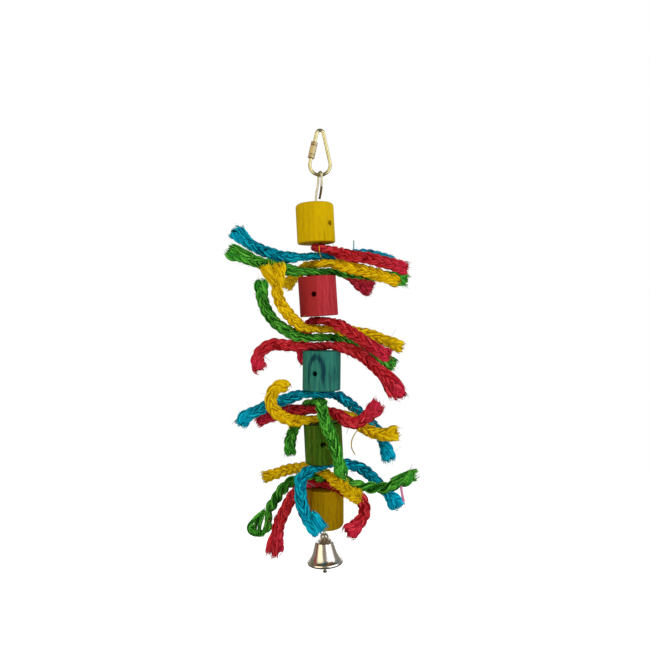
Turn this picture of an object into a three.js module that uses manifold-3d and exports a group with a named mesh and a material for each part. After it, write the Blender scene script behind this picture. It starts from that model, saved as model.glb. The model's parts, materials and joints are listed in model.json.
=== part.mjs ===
// A hanging chew toy for a parrot: dyed wooden blocks and plaited sisal ropes threaded on one wire,
// with a quick link to hang it by and a small bell below. Millimetres, +Z up, front towards -Y.
// The origin is the place the toy hangs from: the inside of the link's narrow top bend.
import * as THREE from 'three';
import { mergeVertices } from 'three/addons/utils/BufferGeometryUtils.js';
import Module from 'manifold-3d';

const wasm = await Module();
wasm.setup();

// Clearance between pieces that touch
const fitGap = 0.3;

// Quick link
const linkRod = 2.4;
const linkHeight = 33.8;
const linkWidth = 16.7;
const linkTopWidth = 7.2;
const linkOpening = 4.3;
const sleeveLength = 11.6;
const sleeveAcrossFlats = 4.6;
const sleeveFromTop = 6.6;
const sleeveGrip = 1.5;

// Stem wire
const wireDiameter = 1.6;
const hookTurn = 27;
const hookTail = 16.6;
const tailBow = 0.6;
const tailForward = 0.4;
const tailCross = 1.5;
const tailBack = 2;
const hangDrop = 20.2;
const stemSet = 2.9;
const stemLean = 1.48;
const eyeRadius = 3.1;
const eyeStart = 50;
const eyeEnd = -216;

// Wooden blocks
const blockDiameter = 26.6;
const blockHeight = 27.6;
const blockEdge = 1.4;
const boreDiameter = 5.4;
const sideHoleDiameter = 3.8;
const sideHoleDepth = 7.5;

// Ropes
const ropeDiameter = 7.6;
const tierHeights = [23.3, 24.1, 22.9, 17.8];

// Bell and clapper
const bellMouth = 25.4;
const bellShoulder = 13.5;
const bellHeight = 15.8;
const bellWall = 0.8;
const bellCrownRound = 2;
const flareStraight = 0.55;
const flarePower = 2.2;
const bellTilt = 3.3;
const bellAside = -0.5;
const tabThickness = 1;
const tabHole = 2.8;
const tabRim = 1.3;
const tabDrop = 2.8;
const tabShoulder = 25;
const tabFootWidth = 8.8;
const footDiameter = 11;
const footTopDiameter = 3;
const footThickness = 1.5;
const neckWidth = 2.2;
const innerHole = 2.4;
const innerRim = 1.1;
const clapperWire = 0.9;
const clapperRing = 1.5;
const clapperTurn = 324;
const clapperLength = 19.4;
const clapperRod = 1.1;
const clapperTaper = 3;
const clapperNeck = 1.8;
const clapperHead = 3.1;
const clapperHeadHeight = 2;

// How finely the round shapes are divided
const roundSides = 24;
const smallSides = 16;
const wireSides = 10;
const ropeSides = 10;
const arcStep = 15;
const bendSteps = 8;
const roundSteps = 4;
const flareSteps = 9;

const dyes = {
  red: 0xb01f33,
  blue: 0x0a86a6,
  yellow: 0xc9a206,
  green: 0x2f7d2c,
};

const { degToRad, smoothstep, lerp } = THREE.MathUtils;
const vector = (x, y, z) => new THREE.Vector3(x, y, z);

// A route that passes straight from station to station, so that a tube has one ring at each of them
class StationCurve extends THREE.Curve {
  constructor(stations) {
    super();
    this.stations = stations;
  }

  getPoint(t, target = new THREE.Vector3()) {
    const last = this.stations.length - 1;
    const index = Math.min(Math.floor(t * last), last - 1);
    return target.lerpVectors(this.stations[index], this.stations[index + 1], t * last - index);
  }

  getPointAt(u, target) {
    return this.getPoint(u, target);
  }

  getTangentAt(u, target) {
    return this.getTangent(u, target);
  }
}

function polygon(radius, sides) {
  const corners = [];
  for (let i = 0; i < sides; i += 1) {
    const angle = (2 * Math.PI * i) / sides;
    corners.push(new THREE.Vector2(radius * Math.cos(angle), radius * Math.sin(angle)));
  }
  return corners;
}

function tube(stations, diameter, sides) {
  const section = new THREE.Shape(polygon(diameter / 2, sides));
  const extrudePath = new StationCurve(stations);
  return new THREE.ExtrudeGeometry(section, { steps: stations.length - 1, extrudePath, bevelEnabled: false });
}

function joinRuns(...runs) {
  const stations = [];
  for (const run of runs) {
    for (const point of run) {
      const previous = stations.at(-1);
      if (!previous || previous.distanceTo(point) > fitGap / 10) stations.push(point);
    }
  }
  return stations;
}

// Points of an arc in the plane of two unit directions
function arcRun(centre, across, up, radius, from, to) {
  const count = Math.ceil(Math.abs(to - from) / degToRad(arcStep));
  const points = [];
  for (let i = 0; i <= count; i += 1) {
    const angle = lerp(from, to, i / count);
    const point = centre.clone().addScaledVector(across, radius * Math.cos(angle));
    points.push(point.addScaledVector(up, radius * Math.sin(angle)));
  }
  return points;
}

// A solid of revolution about Z from a closed outline of [radius, height] points, listed anticlockwise
function revolve(outline, sides) {
  const points = outline.map(([radius, height]) => new THREE.Vector2(radius, height));
  return new THREE.LatheGeometry(points, sides).rotateX(Math.PI / 2);
}

function toSolid(geometry) {
  const bare = geometry.clone();
  bare.deleteAttribute('normal');
  bare.deleteAttribute('uv');
  const merged = mergeVertices(bare, 1e-4);
  const vertProperties = new Float32Array(merged.attributes.position.array);
  const triVerts = new Uint32Array(merged.index.array);
  return new wasm.Manifold(new wasm.Mesh({ numProp: 3, vertProperties, triVerts }));
}

function toGeometry(solid) {
  const mesh = solid.getMesh();
  const geometry = new THREE.BufferGeometry();
  geometry.setAttribute('position', new THREE.BufferAttribute(mesh.vertProperties, 3));
  geometry.setIndex(new THREE.BufferAttribute(mesh.triVerts, 1));
  geometry.computeVertexNormals();
  return geometry;
}

function cut(geometry, ...tools) {
  let solid = toSolid(geometry);
  for (const tool of tools) solid = solid.subtract(toSolid(tool));
  return toGeometry(solid);
}

function join(geometry, ...others) {
  let solid = toSolid(geometry);
  for (const other of others) solid = solid.add(toSolid(other));
  return toGeometry(solid);
}

function part(name, geometry, color, roughness, metalness) {
  const material = new THREE.MeshStandardMaterial({ color, roughness, metalness });
  const mesh = new THREE.Mesh(geometry, material);
  mesh.name = name;
  return mesh;
}

const toy = new THREE.Group();
const xAxis = vector(1, 0, 0);
const yAxis = vector(0, 1, 0);
const zAxis = vector(0, 0, 1);

// Quick link: two bends joined by straight legs that lean towards the narrow top
const topRadius = (linkTopWidth - linkRod) / 2;
const lowRadius = (linkWidth - linkRod) / 2;
const topCentre = vector(0, 0, linkRod / 2 - topRadius);
const linkLow = linkRod * 1.5 - linkHeight;
const lowCentre = vector(0, 0, linkLow + lowRadius);
const legSlope = Math.asin((lowRadius - topRadius) / (topCentre.z - lowCentre.z));
const legDown = vector(-Math.sin(legSlope), 0, -Math.cos(legSlope));
const legOut = vector(-Math.cos(legSlope), 0, Math.sin(legSlope));
const legTop = topCentre.clone().addScaledVector(legOut, topRadius);

function onLeg(distance) {
  return legTop.clone().addScaledVector(legDown, distance);
}

function linkBody() {
  const lowerEnd = sleeveFromTop + sleeveLength - sleeveGrip;
  const lowBend = arcRun(lowCentre, xAxis, zAxis, lowRadius, Math.PI - legSlope, 2 * Math.PI + legSlope);
  const topBend = arcRun(topCentre, xAxis, zAxis, topRadius, legSlope, Math.PI - legSlope);
  const stations = joinRuns([onLeg(lowerEnd)], lowBend, topBend, [onLeg(lowerEnd - linkOpening)]);
  return tube(stations, linkRod, wireSides);
}

function linkSleeve() {
  const cornerRadius = sleeveAcrossFlats / Math.sqrt(3);
  const section = new THREE.Shape(polygon(cornerRadius, 6));
  section.holes.push(new THREE.Path(polygon(linkRod / 2 + fitGap, smallSides)));
  const prism = new THREE.ExtrudeGeometry(section, { depth: sleeveLength, bevelEnabled: false });
  prism.translate(0, 0, -sleeveLength / 2);
  const half = sleeveLength / 2;
  const chamfer = cornerRadius - sleeveAcrossFlats / 2;
  const barrel = revolve([[0, -half], [sleeveAcrossFlats / 2, -half], [cornerRadius, chamfer - half],
    [cornerRadius, half - chamfer], [sleeveAcrossFlats / 2, half], [0, half]], roundSides);
  return toGeometry(toSolid(prism).intersect(toSolid(barrel)));
}

const sleeve = part('quick_link_sleeve', linkSleeve(), 0xb9b196, 0.3, 1);
sleeve.position.copy(onLeg(sleeveFromTop + sleeveLength / 2));
sleeve.rotation.y = legSlope;
toy.add(part('quick_link_body', linkBody(), 0xc8c3a8, 0.25, 1), sleeve);

// Stem: a hook over the link's low bend, a leaning shank and an eye that carries the bell
const stemTop = vector(-stemSet, 0, linkLow - hangDrop);
const down = vector(Math.sin(degToRad(stemLean)), 0, -Math.cos(degToRad(stemLean)));
const up = down.clone().negate();
const stackLength = tierHeights.length * blockHeight + blockHeight + tierHeights.reduce((a, b) => a + b, 0);
const eyeOuter = eyeRadius + wireDiameter / 2;
const eyeSeat = Math.sqrt(eyeOuter ** 2 - (boreDiameter / 2) ** 2);
const eyeCentre = onStem(stackLength + eyeSeat + 2 * fitGap);

function onStem(distance) {
  return stemTop.clone().addScaledVector(down, distance);
}

// A smooth run that leaves one point along a direction and arrives at another along a second direction
function easeRun(start, leaving, end, arriving, pull) {
  const startPull = start.clone().addScaledVector(leaving, pull);
  const endPull = end.clone().addScaledVector(arriving, -pull);
  return new THREE.CubicBezierCurve3(start, startPull, endPull, end).getPoints(bendSteps);
}

function stemWire() {
  const hookRadius = linkRod / 2 / Math.cos(degToRad(hookTurn)) + wireDiameter / 2 + fitGap;
  const hookCentre = vector(0, 0, linkLow + linkRod / 2 + fitGap + wireDiameter / 2 - hookRadius);
  const hookFront = vector(Math.sin(degToRad(hookTurn)), -Math.cos(degToRad(hookTurn)), 0);
  const hook = arcRun(hookCentre, hookFront, zAxis, hookRadius, 0, Math.PI);
  const tailTop = hook[0];
  const tailMiddle = tailTop.clone().add(vector(tailBow, -tailForward, -hookTail / 2));
  const tailEnd = tailTop.clone().add(vector(-tailCross, tailBack, -hookTail));
  const tail = new THREE.QuadraticBezierCurve3(tailEnd, tailMiddle, tailTop).getPoints(bendSteps);
  const shank = easeRun(hook.at(-1), zAxis.clone().negate(), stemTop, down, hangDrop / 2);
  const start = degToRad(eyeStart);
  const eye = arcRun(eyeCentre, yAxis, up, eyeRadius, start, degToRad(eyeEnd));
  const eyeTangent = yAxis.clone().multiplyScalar(Math.sin(start)).addScaledVector(up, -Math.cos(start));
  const neckTop = eyeCentre.clone().addScaledVector(up, eyeRadius + 2 * wireDiameter);
  const neck = easeRun(neckTop, down, eye[0], eyeTangent, wireDiameter);
  return tube(joinRuns(tail, hook, shank, neck, eye), wireDiameter, wireSides);
}

toy.add(part('stem_wire', stemWire(), 0x9c9a92, 0.35, 1));

// Blocks: each leans and sits aside by a share of the slack that its bore leaves round the wire
const boreSlack = (boreDiameter - wireDiameter) / 2 - fitGap;
const fullLean = Math.atan(boreSlack / (blockHeight / 2));
const blocks = [
  { name: 'block_1_yellow', color: 0xc3a010, lean: 0.23, aside: -0.44, holeTurn: 50, holeHeight: -1.3 },
  { name: 'block_2_red', color: 0x98283a, lean: 0.35, aside: -0.1, holeTurn: -12, holeHeight: 1.2 },
  { name: 'block_3_blue', color: 0x2f6f6c, lean: -0.31, aside: 0.65, holeTurn: -21, holeHeight: -1.7 },
  { name: 'block_4_green', color: 0x45571d, lean: 0.21, aside: 0.65, holeTurn: -1, holeHeight: 0.6 },
  { name: 'block_5_yellow', color: 0x99760a, lean: -0.21, aside: 0.45, holeTurn: 150, holeHeight: 0 },
];

function blockSolid(holeTurn, holeHeight) {
  const radius = blockDiameter / 2;
  const bore = boreDiameter / 2;
  const half = blockHeight / 2;
  const soft = blockEdge * (1 - Math.SQRT1_2);
  const body = revolve([[bore, -half], [radius - blockEdge, -half], [radius - soft, soft - half],
    [radius, blockEdge - half], [radius, half - blockEdge], [radius - soft, half - soft],
    [radius - blockEdge, half], [bore, half], [bore, -half]], roundSides);
  const drillRadius = sideHoleDiameter / 2;
  const drill = new THREE.CylinderGeometry(drillRadius, drillRadius, 2 * sideHoleDepth, smallSides);
  drill.translate(0, -radius, holeHeight).rotateZ(degToRad(holeTurn));
  return cut(body, drill);
}

function blockStart(index) {
  return index * blockHeight + tierHeights.slice(0, index).reduce((a, b) => a + b, 0);
}

blocks.forEach(({ name, color, lean, aside, holeTurn, holeHeight }, index) => {
  const block = part(name, blockSolid(holeTurn, holeHeight), color, 0.75, 0);
  block.position.copy(onStem(blockStart(index) + blockHeight / 2));
  block.position.x += aside * boreSlack;
  block.rotation.y = -degToRad(stemLean) - lean * fullLean;
  toy.add(block);
});

// Ropes: four to a space between blocks, from the upper to the lower. Each route runs from one cut end
// to the other, measured from the place where the wire pierces the rope.
const ropeTiers = [
  [
    {
      name: 'rope_1_red',
      dye: 'red',
      route: [[61, -16, -15.9], [48, -16, -12.3], [34, -15, -8.8], [21, -12.4, -6.6], [11, -7.2, -2.8],
        [0, 0, 0], [6, 11, 0], [13, 22, -4.4], [21.4, 31, -13], [30.4, 36, -22.4], [39.6, 38, -29.2]],
    },
    {
      name: 'rope_1_blue',
      dye: 'blue',
      route: [[-59.5, 8, 19.2], [-53, 8, 13], [-44.5, 7, 7.2], [-34.5, 6, 2.9], [-25, 4, -0.2],
        [-12, 2, -0.7], [0, 0, 0], [12, 5, 0.4], [27, 11, 1.9], [41, 14, 1.7], [55, 16, -3.1]],
    },
    {
      name: 'rope_1_yellow',
      dye: 'yellow',
      route: [[55, -14, -13.4], [47, -13, -10.4], [38, -12, -7.4], [29, -10.8, -4.7], [21, -8.7, -2.7],
        [11, -5, -0.1], [0, 0, 0], [-6, 12, -0.2], [-12, 26, -2.4], [-19, 40, -7.4], [-25, 50, -12.4]],
    },
    {
      name: 'rope_1_green',
      dye: 'green',
      route: [[-61.5, -6, 14.3], [-54, -6, 11.3], [-46, -6, 8.3], [-38, -6, 5.5], [-28, -5, 2.9],
        [-14, -3, 0.6], [0, 0, 0], [12, 4, 0.7], [24, 7, 0.3], [37, 8, -0.7], [50, 8, -2.6],
        [63, 7, -4.7]],
    },
  ],
  [
    {
      name: 'rope_2_red_upper',
      dye: 'red',
      route: [[46.6, -26, -23.8], [39, -25, -19.8], [30, -23, -13.8], [23, -20, -8.8], [15, -15, -3.8],
        [8, -8, -0.9], [0, 0, 0], [-5, 12, -0.9], [-9, 24, -6.8], [-12, 32, -15.8], [-13, 34, -23.8],
        [-10, 33, -32.8]],
    },
    {
      name: 'rope_2_yellow',
      dye: 'yellow',
      route: [[-26.4, -24, 43], [-26.4, -24, 37], [-27.2, -23, 30.8], [-27.6, -22, 23.8],
        [-25.6, -20, 17.6], [-21.5, -17, 11.5], [-16.4, -13, 5.6], [-9, -7, 0.9], [0, 0, 0],
        [10, -2, 0], [21, 0, -1.6], [32, 4, -3.2], [43, 6, -6.6], [51, 7, -9.8], [58.8, 7, -13.3]],
    },
    {
      name: 'rope_2_green',
      dye: 'green',
      route: [[-40.9, -4, 39.4], [-39.9, -5, 32.4], [-38.9, -6, 25.4], [-36, -7, 18.4],
        [-31, -8, 11.5], [-24, -8, 5.8], [-16.5, -6, 2], [-9, -3, 0], [0, 0, 0], [10, 5, -0.2],
        [20, 10, -1.6], [31, 13, -6.7], [43, 14, -13.7], [53.6, 13, -20.4]],
    },
    {
      name: 'rope_2_red_lower',
      dye: 'red',
      route: [[-40.6, -10, -15.7], [-42.7, -10, -11.2], [-42, -10, -6.7], [-38.8, -10, -2.3],
        [-34, -10, 0.9], [-27, -9, 1.3], [-19, -7, 0.4], [-10, -4, 0], [0, 0, 0], [10, -4, 0.4],
        [21, -8, -2.1], [31, -10, -7.6], [38, -11, -14], [45.6, -11, -20.2], [52, -11, -27.4],
        [55.4, -11, -34.5]],
    },
  ],
  [
    {
      name: 'rope_3_blue',
      dye: 'blue',
      route: [[-56.6, 4, -22.2], [-54, 4, -17.7], [-49, 4, -13.8], [-42, 4, -10.8], [-34, 3, -7],
        [-25, 2, -3.9], [-14, 1, -0.4], [0, 0, 0], [10, 6, -1.5], [18, 11, -5.9], [25, 15, -12],
        [31, 18, -17.8], [38, 20, -25.2], [44, 21, -33.2], [47.8, 21, -42.2], [49.8, 20, -50.7]],
    },
    {
      name: 'rope_3_green',
      dye: 'green',
      route: [[14, -20.4, -45.9], [12, -20, -37.5], [9.8, -20, -28.5], [6.4, -20, -19.5],
        [3, -20, -10.5], [1, -16, -3.4], [0, -9, 0], [0, 0, 0], [-5, 10, -1.1], [-12, 19, -6.5],
        [-17.4, 24, -16], [-21.5, 26, -26], [-23.2, 26, -34.5], [-23, 25, -41.5]],
    },
    {
      name: 'rope_3_red',
      dye: 'red',
      route: [[-46.5, 14, -9.8], [-41, 14, -7.4], [-32, 13, -4.8], [-23, 11, -1.9], [-12, 6, -0.4],
        [0, 0, 0], [6, -4, 0], [11, -8, -1.4], [16, -12, -4.8], [22, -14, -6.8], [28, -15, -4.8],
        [33, -15, -0.2], [39.5, -15, 5.7]],
    },
    {
      name: 'rope_3_yellow',
      dye: 'yellow',
      route: [[-23.5, -15, 22.4], [-27, -15, 24.9], [-30.8, -15, 22.4], [-33.8, -15, 17.9],
        [-34, -15, 12.3], [-31.5, -14, 7.3], [-26.4, -13, 2.9], [-19, -10, -0.1], [-10, -5, -0.3],
        [0, 0, 0], [10, 3, 0.8], [17, 3, 0.9], [23, 1, -1.1], [29, 0, -6.2], [37, 0, -10.2],
        [45, 0, -11.2], [53, 0, -10.2]],
    },
  ],
  [
    {
      name: 'rope_4_blue',
      dye: 'blue',
      route: [[-2.2, -24, -39.4], [-5.2, -25, -36.4], [-9.2, -26, -30.4], [-12.3, -26, -24.4],
        [-14.4, -26, -16.4], [-14.5, -24, -10.3], [-13.8, -19, -4.3], [-9, -12, -1.2], [0, 0, 0],
        [9, 9, -0.3], [18, 13, -2.2], [27, 15, -4.9], [34.6, 16, -10.6], [41, 16, -17.5],
        [48, 16, -24.6], [55, 16, -33.4]],
    },
    {
      name: 'rope_4_yellow',
      dye: 'yellow',
      route: [[23, -42, -7], [18, -34, -6], [12, -24, -4], [6, -12, -1.5], [0, 0, 0], [-7, 9, -0.3],
        [-14, 15, -1], [-21, 20, -2.2], [-29, 23, -4.6], [-37, 25, -7.8], [-44, 26, -10.8]],
    },
    {
      name: 'rope_4_green',
      dye: 'green',
      route: [[-52, 11, -36.6], [-49.8, 11, -40.4], [-46, 11, -42.2], [-41.8, 11, -41.1],
        [-38.6, 11, -37.4], [-38.2, 11, -32.8], [-39.2, 11, -28.6], [-37.4, 11, -23.4],
        [-34, 11, -18.3], [-30.1, 10, -12.1], [-25.4, 9, -6.8], [-19.1, 8, -3.3], [-11, 5, -0.5],
        [0, 0, 0], [9, -2, 0], [18, -3, -2.5], [25, -3, -4.6], [33, -3, -6], [41, -3, -6.4],
        [50, -3, -3.8], [57, -3, -1], [63, -3, 3.2]],
    },
    {
      name: 'rope_4_red',
      dye: 'red',
      route: [[-33, -6, -44.6], [-32, -6, -37.6], [-31.6, -6, -30.8], [-29.8, -5, -24.2],
        [-27, -4, -18.2], [-23, -2, -10.7], [-18.3, -0.3, -5], [-12.2, 0.6, -0.1], [0, 0, 0],
        [8, -7, 0.2], [16, -13, -2], [24, -16, -4.4], [27.7, -17, -9.6], [27.4, -17, -16.6],
        [23.2, -16, -23.6], [16.8, -15, -29.6]],
    },
  ],
];

// Between the blocks a rope is pressed to its share of the space, and it swells again outside them
function pressBetweenBlocks(geometry, pressedHeight) {
  const position = geometry.attributes.position;
  const edge = blockDiameter / 2;
  for (let i = 0; i < position.count; i += 1) {
    const reach = Math.hypot(position.getX(i), position.getY(i));
    const squeeze = lerp(pressedHeight / ropeDiameter, 1, smoothstep(reach, edge, edge + ropeDiameter));
    position.setZ(i, position.getZ(i) * squeeze);
  }
}

function ropeSolid(route, pressedHeight) {
  const curve = new THREE.CatmullRomCurve3(route.map((point) => vector(...point)), false, 'centripetal');
  const steps = Math.round(curve.getLength() / ropeDiameter);
  const geometry = tube(curve.getSpacedPoints(steps), ropeDiameter, ropeSides);
  pressBetweenBlocks(geometry, pressedHeight);
  const piercing = wireDiameter / 2 + fitGap;
  const hole = new THREE.CylinderGeometry(piercing, piercing, 2 * ropeDiameter, wireSides);
  hole.rotateX(Math.PI / 2).rotateY(-degToRad(stemLean));
  return cut(geometry, hole);
}

ropeTiers.forEach((ropes, tier) => {
  const pressedHeight = (tierHeights[tier] - (ropes.length + 1) * fitGap) / ropes.length;
  const tierTop = blockStart(tier) + blockHeight;
  ropes.forEach(({ name, dye, route }, index) => {
    const rope = part(name, ropeSolid(route, pressedHeight), dyes[dye], 0.9, 0);
    rope.position.copy(onStem(tierTop + fitGap + pressedHeight / 2 + index * (pressedHeight + fitGap)));
    toy.add(rope);
  });
});

// Bell: hung by its tab from the bottom of the wire's eye
const hinge = eyeCentre.clone().addScaledVector(down, eyeRadius);
const holeDrop = tabHole / 2 - wireDiameter / 2 - fitGap;
const crownHeight = -holeDrop - tabDrop;
const innerHeight = crownHeight - bellWall - innerHole / 2 - innerRim;

function bellRadius(share) {
  const flare = lerp(share ** flarePower, share, flareStraight);
  return lerp(bellShoulder, bellMouth, flare) / 2;
}

// One face of the shell from its crown hole down to its lip, set in by a thickness
function bellFace(inset) {
  const crownHole = neckWidth / 2 + 2 * fitGap;
  const round = bellCrownRound - inset;
  const points = [[crownHole, bellHeight - inset]];
  for (let i = 0; i <= roundSteps; i += 1) {
    const angle = (Math.PI / 2) * (1 - i / roundSteps);
    const radius = bellShoulder / 2 - bellCrownRound + round * Math.cos(angle);
    points.push([radius, bellHeight - bellCrownRound + round * Math.sin(angle)]);
  }
  for (let i = 1; i <= flareSteps; i += 1) {
    const share = i / flareSteps;
    points.push([bellRadius(share) - inset, lerp(bellHeight - bellCrownRound, bellWall / 2, share)]);
  }
  return points;
}

function bellShell() {
  const outer = bellFace(0);
  const inner = bellFace(bellWall);
  const lip = [bellMouth / 2 - bellWall / 2, 0];
  const outline = [...inner, lip, ...outer.reverse(), inner[0]];
  return revolve(outline, roundSides);
}

function bellHanger() {
  const rim = tabHole / 2 + tabRim;
  const innerOuter = innerHole / 2 + innerRim;
  const neck = neckWidth / 2;
  const shoulder = degToRad(tabShoulder);
  const rimSide = rim * Math.cos(shoulder);
  const rimLow = -holeDrop - rim * Math.sin(shoulder);
  const footBottom = crownHeight + fitGap;
  const turn = Math.acos(neck / innerOuter);
  const outline = new THREE.Shape();
  outline.absarc(0, -holeDrop, rim, -shoulder, Math.PI + shoulder);
  outline.quadraticCurveTo(-rimSide, footBottom, -tabFootWidth / 2, footBottom);
  outline.lineTo(-neck, footBottom);
  outline.absarc(0, innerHeight, innerOuter, Math.PI - turn, 2 * Math.PI + turn);
  outline.lineTo(neck, footBottom);
  outline.lineTo(tabFootWidth / 2, footBottom);
  outline.quadraticCurveTo(rimSide, footBottom, rimSide, rimLow);
  for (const [height, diameter] of [[-holeDrop, tabHole], [innerHeight, innerHole]]) {
    const edge = polygon(diameter / 2, smallSides);
    edge.forEach((corner) => corner.setY(corner.y + height));
    outline.holes.push(new THREE.Path(edge));
  }
  const plate = { depth: tabThickness, bevelEnabled: false, curveSegments: bendSteps };
  const strip = new THREE.ExtrudeGeometry(outline, plate);
  strip.translate(0, 0, -tabThickness / 2).rotateX(Math.PI / 2);
  const foot = new THREE.CylinderGeometry(footTopDiameter / 2, footDiameter / 2, footThickness, roundSides);
  foot.rotateX(Math.PI / 2).translate(0, 0, footBottom + footThickness / 2);
  return join(strip, foot);
}

// Clapper: a ring through the tab's inner eye, a rod and a small flattened head
function clapperSolid() {
  const ringTop = clapperWire / 2 + fitGap - innerHole / 2;
  const ringCentre = vector(0, 0, ringTop - clapperRing);
  const ringStart = -Math.PI / 2;
  const ringEnd = ringStart + degToRad(clapperTurn);
  const turn = arcRun(ringCentre, yAxis, zAxis, clapperRing, ringStart, ringEnd);
  const rodTop = ringTop - 2 * clapperRing + clapperWire / 2;
  const outline = [[0, -clapperLength]];
  const headCentre = clapperHeadHeight / 2 - clapperLength;
  const headEnd = Math.acos(clapperNeck / clapperHead);
  for (let i = 1; i <= roundSteps; i += 1) {
    const angle = lerp(-Math.PI / 2, headEnd, i / roundSteps);
    const height = headCentre + (clapperHeadHeight / 2) * Math.sin(angle);
    outline.push([(clapperHead / 2) * Math.cos(angle), height]);
  }
  outline.push([clapperRod / 2, headCentre + clapperHeadHeight / 2 + clapperTaper]);
  outline.push([clapperRod / 2, rodTop - clapperWire], [0, rodTop]);
  return join(tube(turn, clapperWire, wireSides), revolve(outline, smallSides));
}

const bell = new THREE.Group();
bell.position.copy(hinge);
bell.rotation.y = -degToRad(bellTilt);
const shell = part('bell_shell', bellShell(), 0xc6c4c0, 0.22, 1);
shell.position.set(bellAside, 0, crownHeight - bellHeight);
const clapper = part('clapper', clapperSolid(), 0x8f8d88, 0.35, 1);
clapper.position.z = innerHeight;
clapper.rotation.y = degToRad(bellTilt);
bell.add(shell, part('bell_hanger', bellHanger(), 0xb9b7b2, 0.3, 1), clapper);
toy.add(bell);

export default toy;
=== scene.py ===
# %% [markdown]
# # A parrot's chew toy, dressed in Blender
# The toy hangs from a quick link. One steel wire carries five dyed wooden blocks, with four sisal
# ropes in each space between them, and a small nickel bell swings from the wire's eye.
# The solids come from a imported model: they hold the sizes and the joints. This lesson adds the
# looks round them, in metres and in the same frame, and never moves a solid.

# %% Load the frame
import json
import math

import bpy
import numpy as np
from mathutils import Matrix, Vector


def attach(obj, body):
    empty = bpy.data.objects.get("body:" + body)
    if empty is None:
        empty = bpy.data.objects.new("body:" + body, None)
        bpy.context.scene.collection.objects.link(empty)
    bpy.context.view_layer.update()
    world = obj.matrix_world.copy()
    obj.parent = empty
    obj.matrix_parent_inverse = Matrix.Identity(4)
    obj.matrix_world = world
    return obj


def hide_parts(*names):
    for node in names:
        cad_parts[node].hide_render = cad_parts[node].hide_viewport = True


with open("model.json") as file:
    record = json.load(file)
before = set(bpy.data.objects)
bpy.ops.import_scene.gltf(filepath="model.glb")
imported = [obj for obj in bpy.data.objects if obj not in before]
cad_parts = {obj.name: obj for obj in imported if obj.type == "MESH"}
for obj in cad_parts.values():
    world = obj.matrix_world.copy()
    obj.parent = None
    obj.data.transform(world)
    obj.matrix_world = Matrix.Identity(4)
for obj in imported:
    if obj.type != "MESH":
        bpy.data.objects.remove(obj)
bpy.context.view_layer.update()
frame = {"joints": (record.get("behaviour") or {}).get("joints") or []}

joint_place = {joint["name"]: Vector(joint["pos_m"]) for joint in frame["joints"] if "pos_m" in joint}
joint_axis = {joint["name"]: Vector(joint["axis"]) for joint in frame["joints"]}
bpy.ops.object.select_all(action="DESELECT")

# %% [markdown]
# ## The camera
# The photograph looks straight at the middle of the toy from about 45 cm: the top block shows its
# underside and the low ones show their tops. A level camera at that height gives the same view, with
# no shift, so its angle of view is all that has to be set.

# %% The camera
CAMERA_PLACE = (0.0035, -0.455, -0.13475)
CAMERA_SENSOR = 36
CAMERA_LENS = 36

bpy.ops.object.camera_add(location=CAMERA_PLACE, rotation=(math.radians(90), 0, 0))
camera = bpy.context.object
camera.data.sensor_fit = "HORIZONTAL"
camera.data.sensor_width = CAMERA_SENSOR
camera.data.lens = CAMERA_LENS
bpy.context.scene.camera = camera
print("camera:", tuple(camera.location), "lens:", camera.data.lens)

# %% [markdown]
# ## Floor, background and light
# The bell in the photograph mirrors the studio: a tall white box light to the right of the camera and
# a narrower, warmer one to the left, with a dim room between and beside them. Two area lamps stand
# for the lights. The room is a wall that only mirrors see, so it darkens the metal and nothing else.
# Its ceiling and its ground are darker still: the link's bends and the bell's lip mirror them.
# The background is white for the camera, for mirrors and for clear things, and gives a soft fill to
# everything else.

# %% Small helpers for shader nodes
def new_tree(owner):
    """Turns on the nodes of a world or a material and empties its tree."""
    owner.use_nodes = True
    owner.node_tree.nodes.clear()
    return owner.node_tree


def set_input(tree, socket, value):
    """Links a socket to another node's output, or gives it a plain value."""
    if isinstance(value, bpy.types.NodeSocket):
        tree.links.new(value, socket)
    else:
        socket.default_value = value


def add_node(tree, kind, settings=(), **inputs):
    """Adds a node with its options and its inputs. Spaces in input names are underscores."""
    node = tree.nodes.new(kind)
    for name, value in dict(settings).items():
        setattr(node, name, value)
    for name, value in inputs.items():
        set_input(tree, node.inputs[name.replace("_", " ")], value)
    return node


def work_out(tree, operation, *values):
    """The result of a Math node with these inputs."""
    node = add_node(tree, "ShaderNodeMath", {"operation": operation})
    for socket, value in zip(node.inputs, values):
        set_input(tree, socket, value)
    return node.outputs["Value"]


def seen_directly(tree):
    """1 for rays from the camera, a mirror or clear things, and 0 for light that falls on things."""
    path = add_node(tree, "ShaderNodeLightPath")
    total = path.outputs["Is Camera Ray"]
    for name in ("Is Glossy Ray", "Is Transmission Ray"):
        total = work_out(tree, "MAXIMUM", total, path.outputs[name])
    return total


print("helpers for shader nodes are ready")

# %% The background
WHITE = (1, 1, 1, 1)
FILL_STRENGTH = 0.42
world = bpy.data.worlds.new("studio")
bpy.context.scene.world = world
tree = new_tree(world)
fill = add_node(tree, "ShaderNodeBackground", Color=WHITE, Strength=FILL_STRENGTH)
white = add_node(tree, "ShaderNodeBackground", Color=WHITE, Strength=1)
choice = add_node(tree, "ShaderNodeMixShader", Fac=seen_directly(tree))
tree.links.new(fill.outputs[0], choice.inputs[1])
tree.links.new(white.outputs[0], choice.inputs[2])
add_node(tree, "ShaderNodeOutputWorld", Surface=choice.outputs[0])
bpy.context.scene.view_settings.view_transform = "Standard"
print("background: white when seen, fill of", FILL_STRENGTH)

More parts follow.
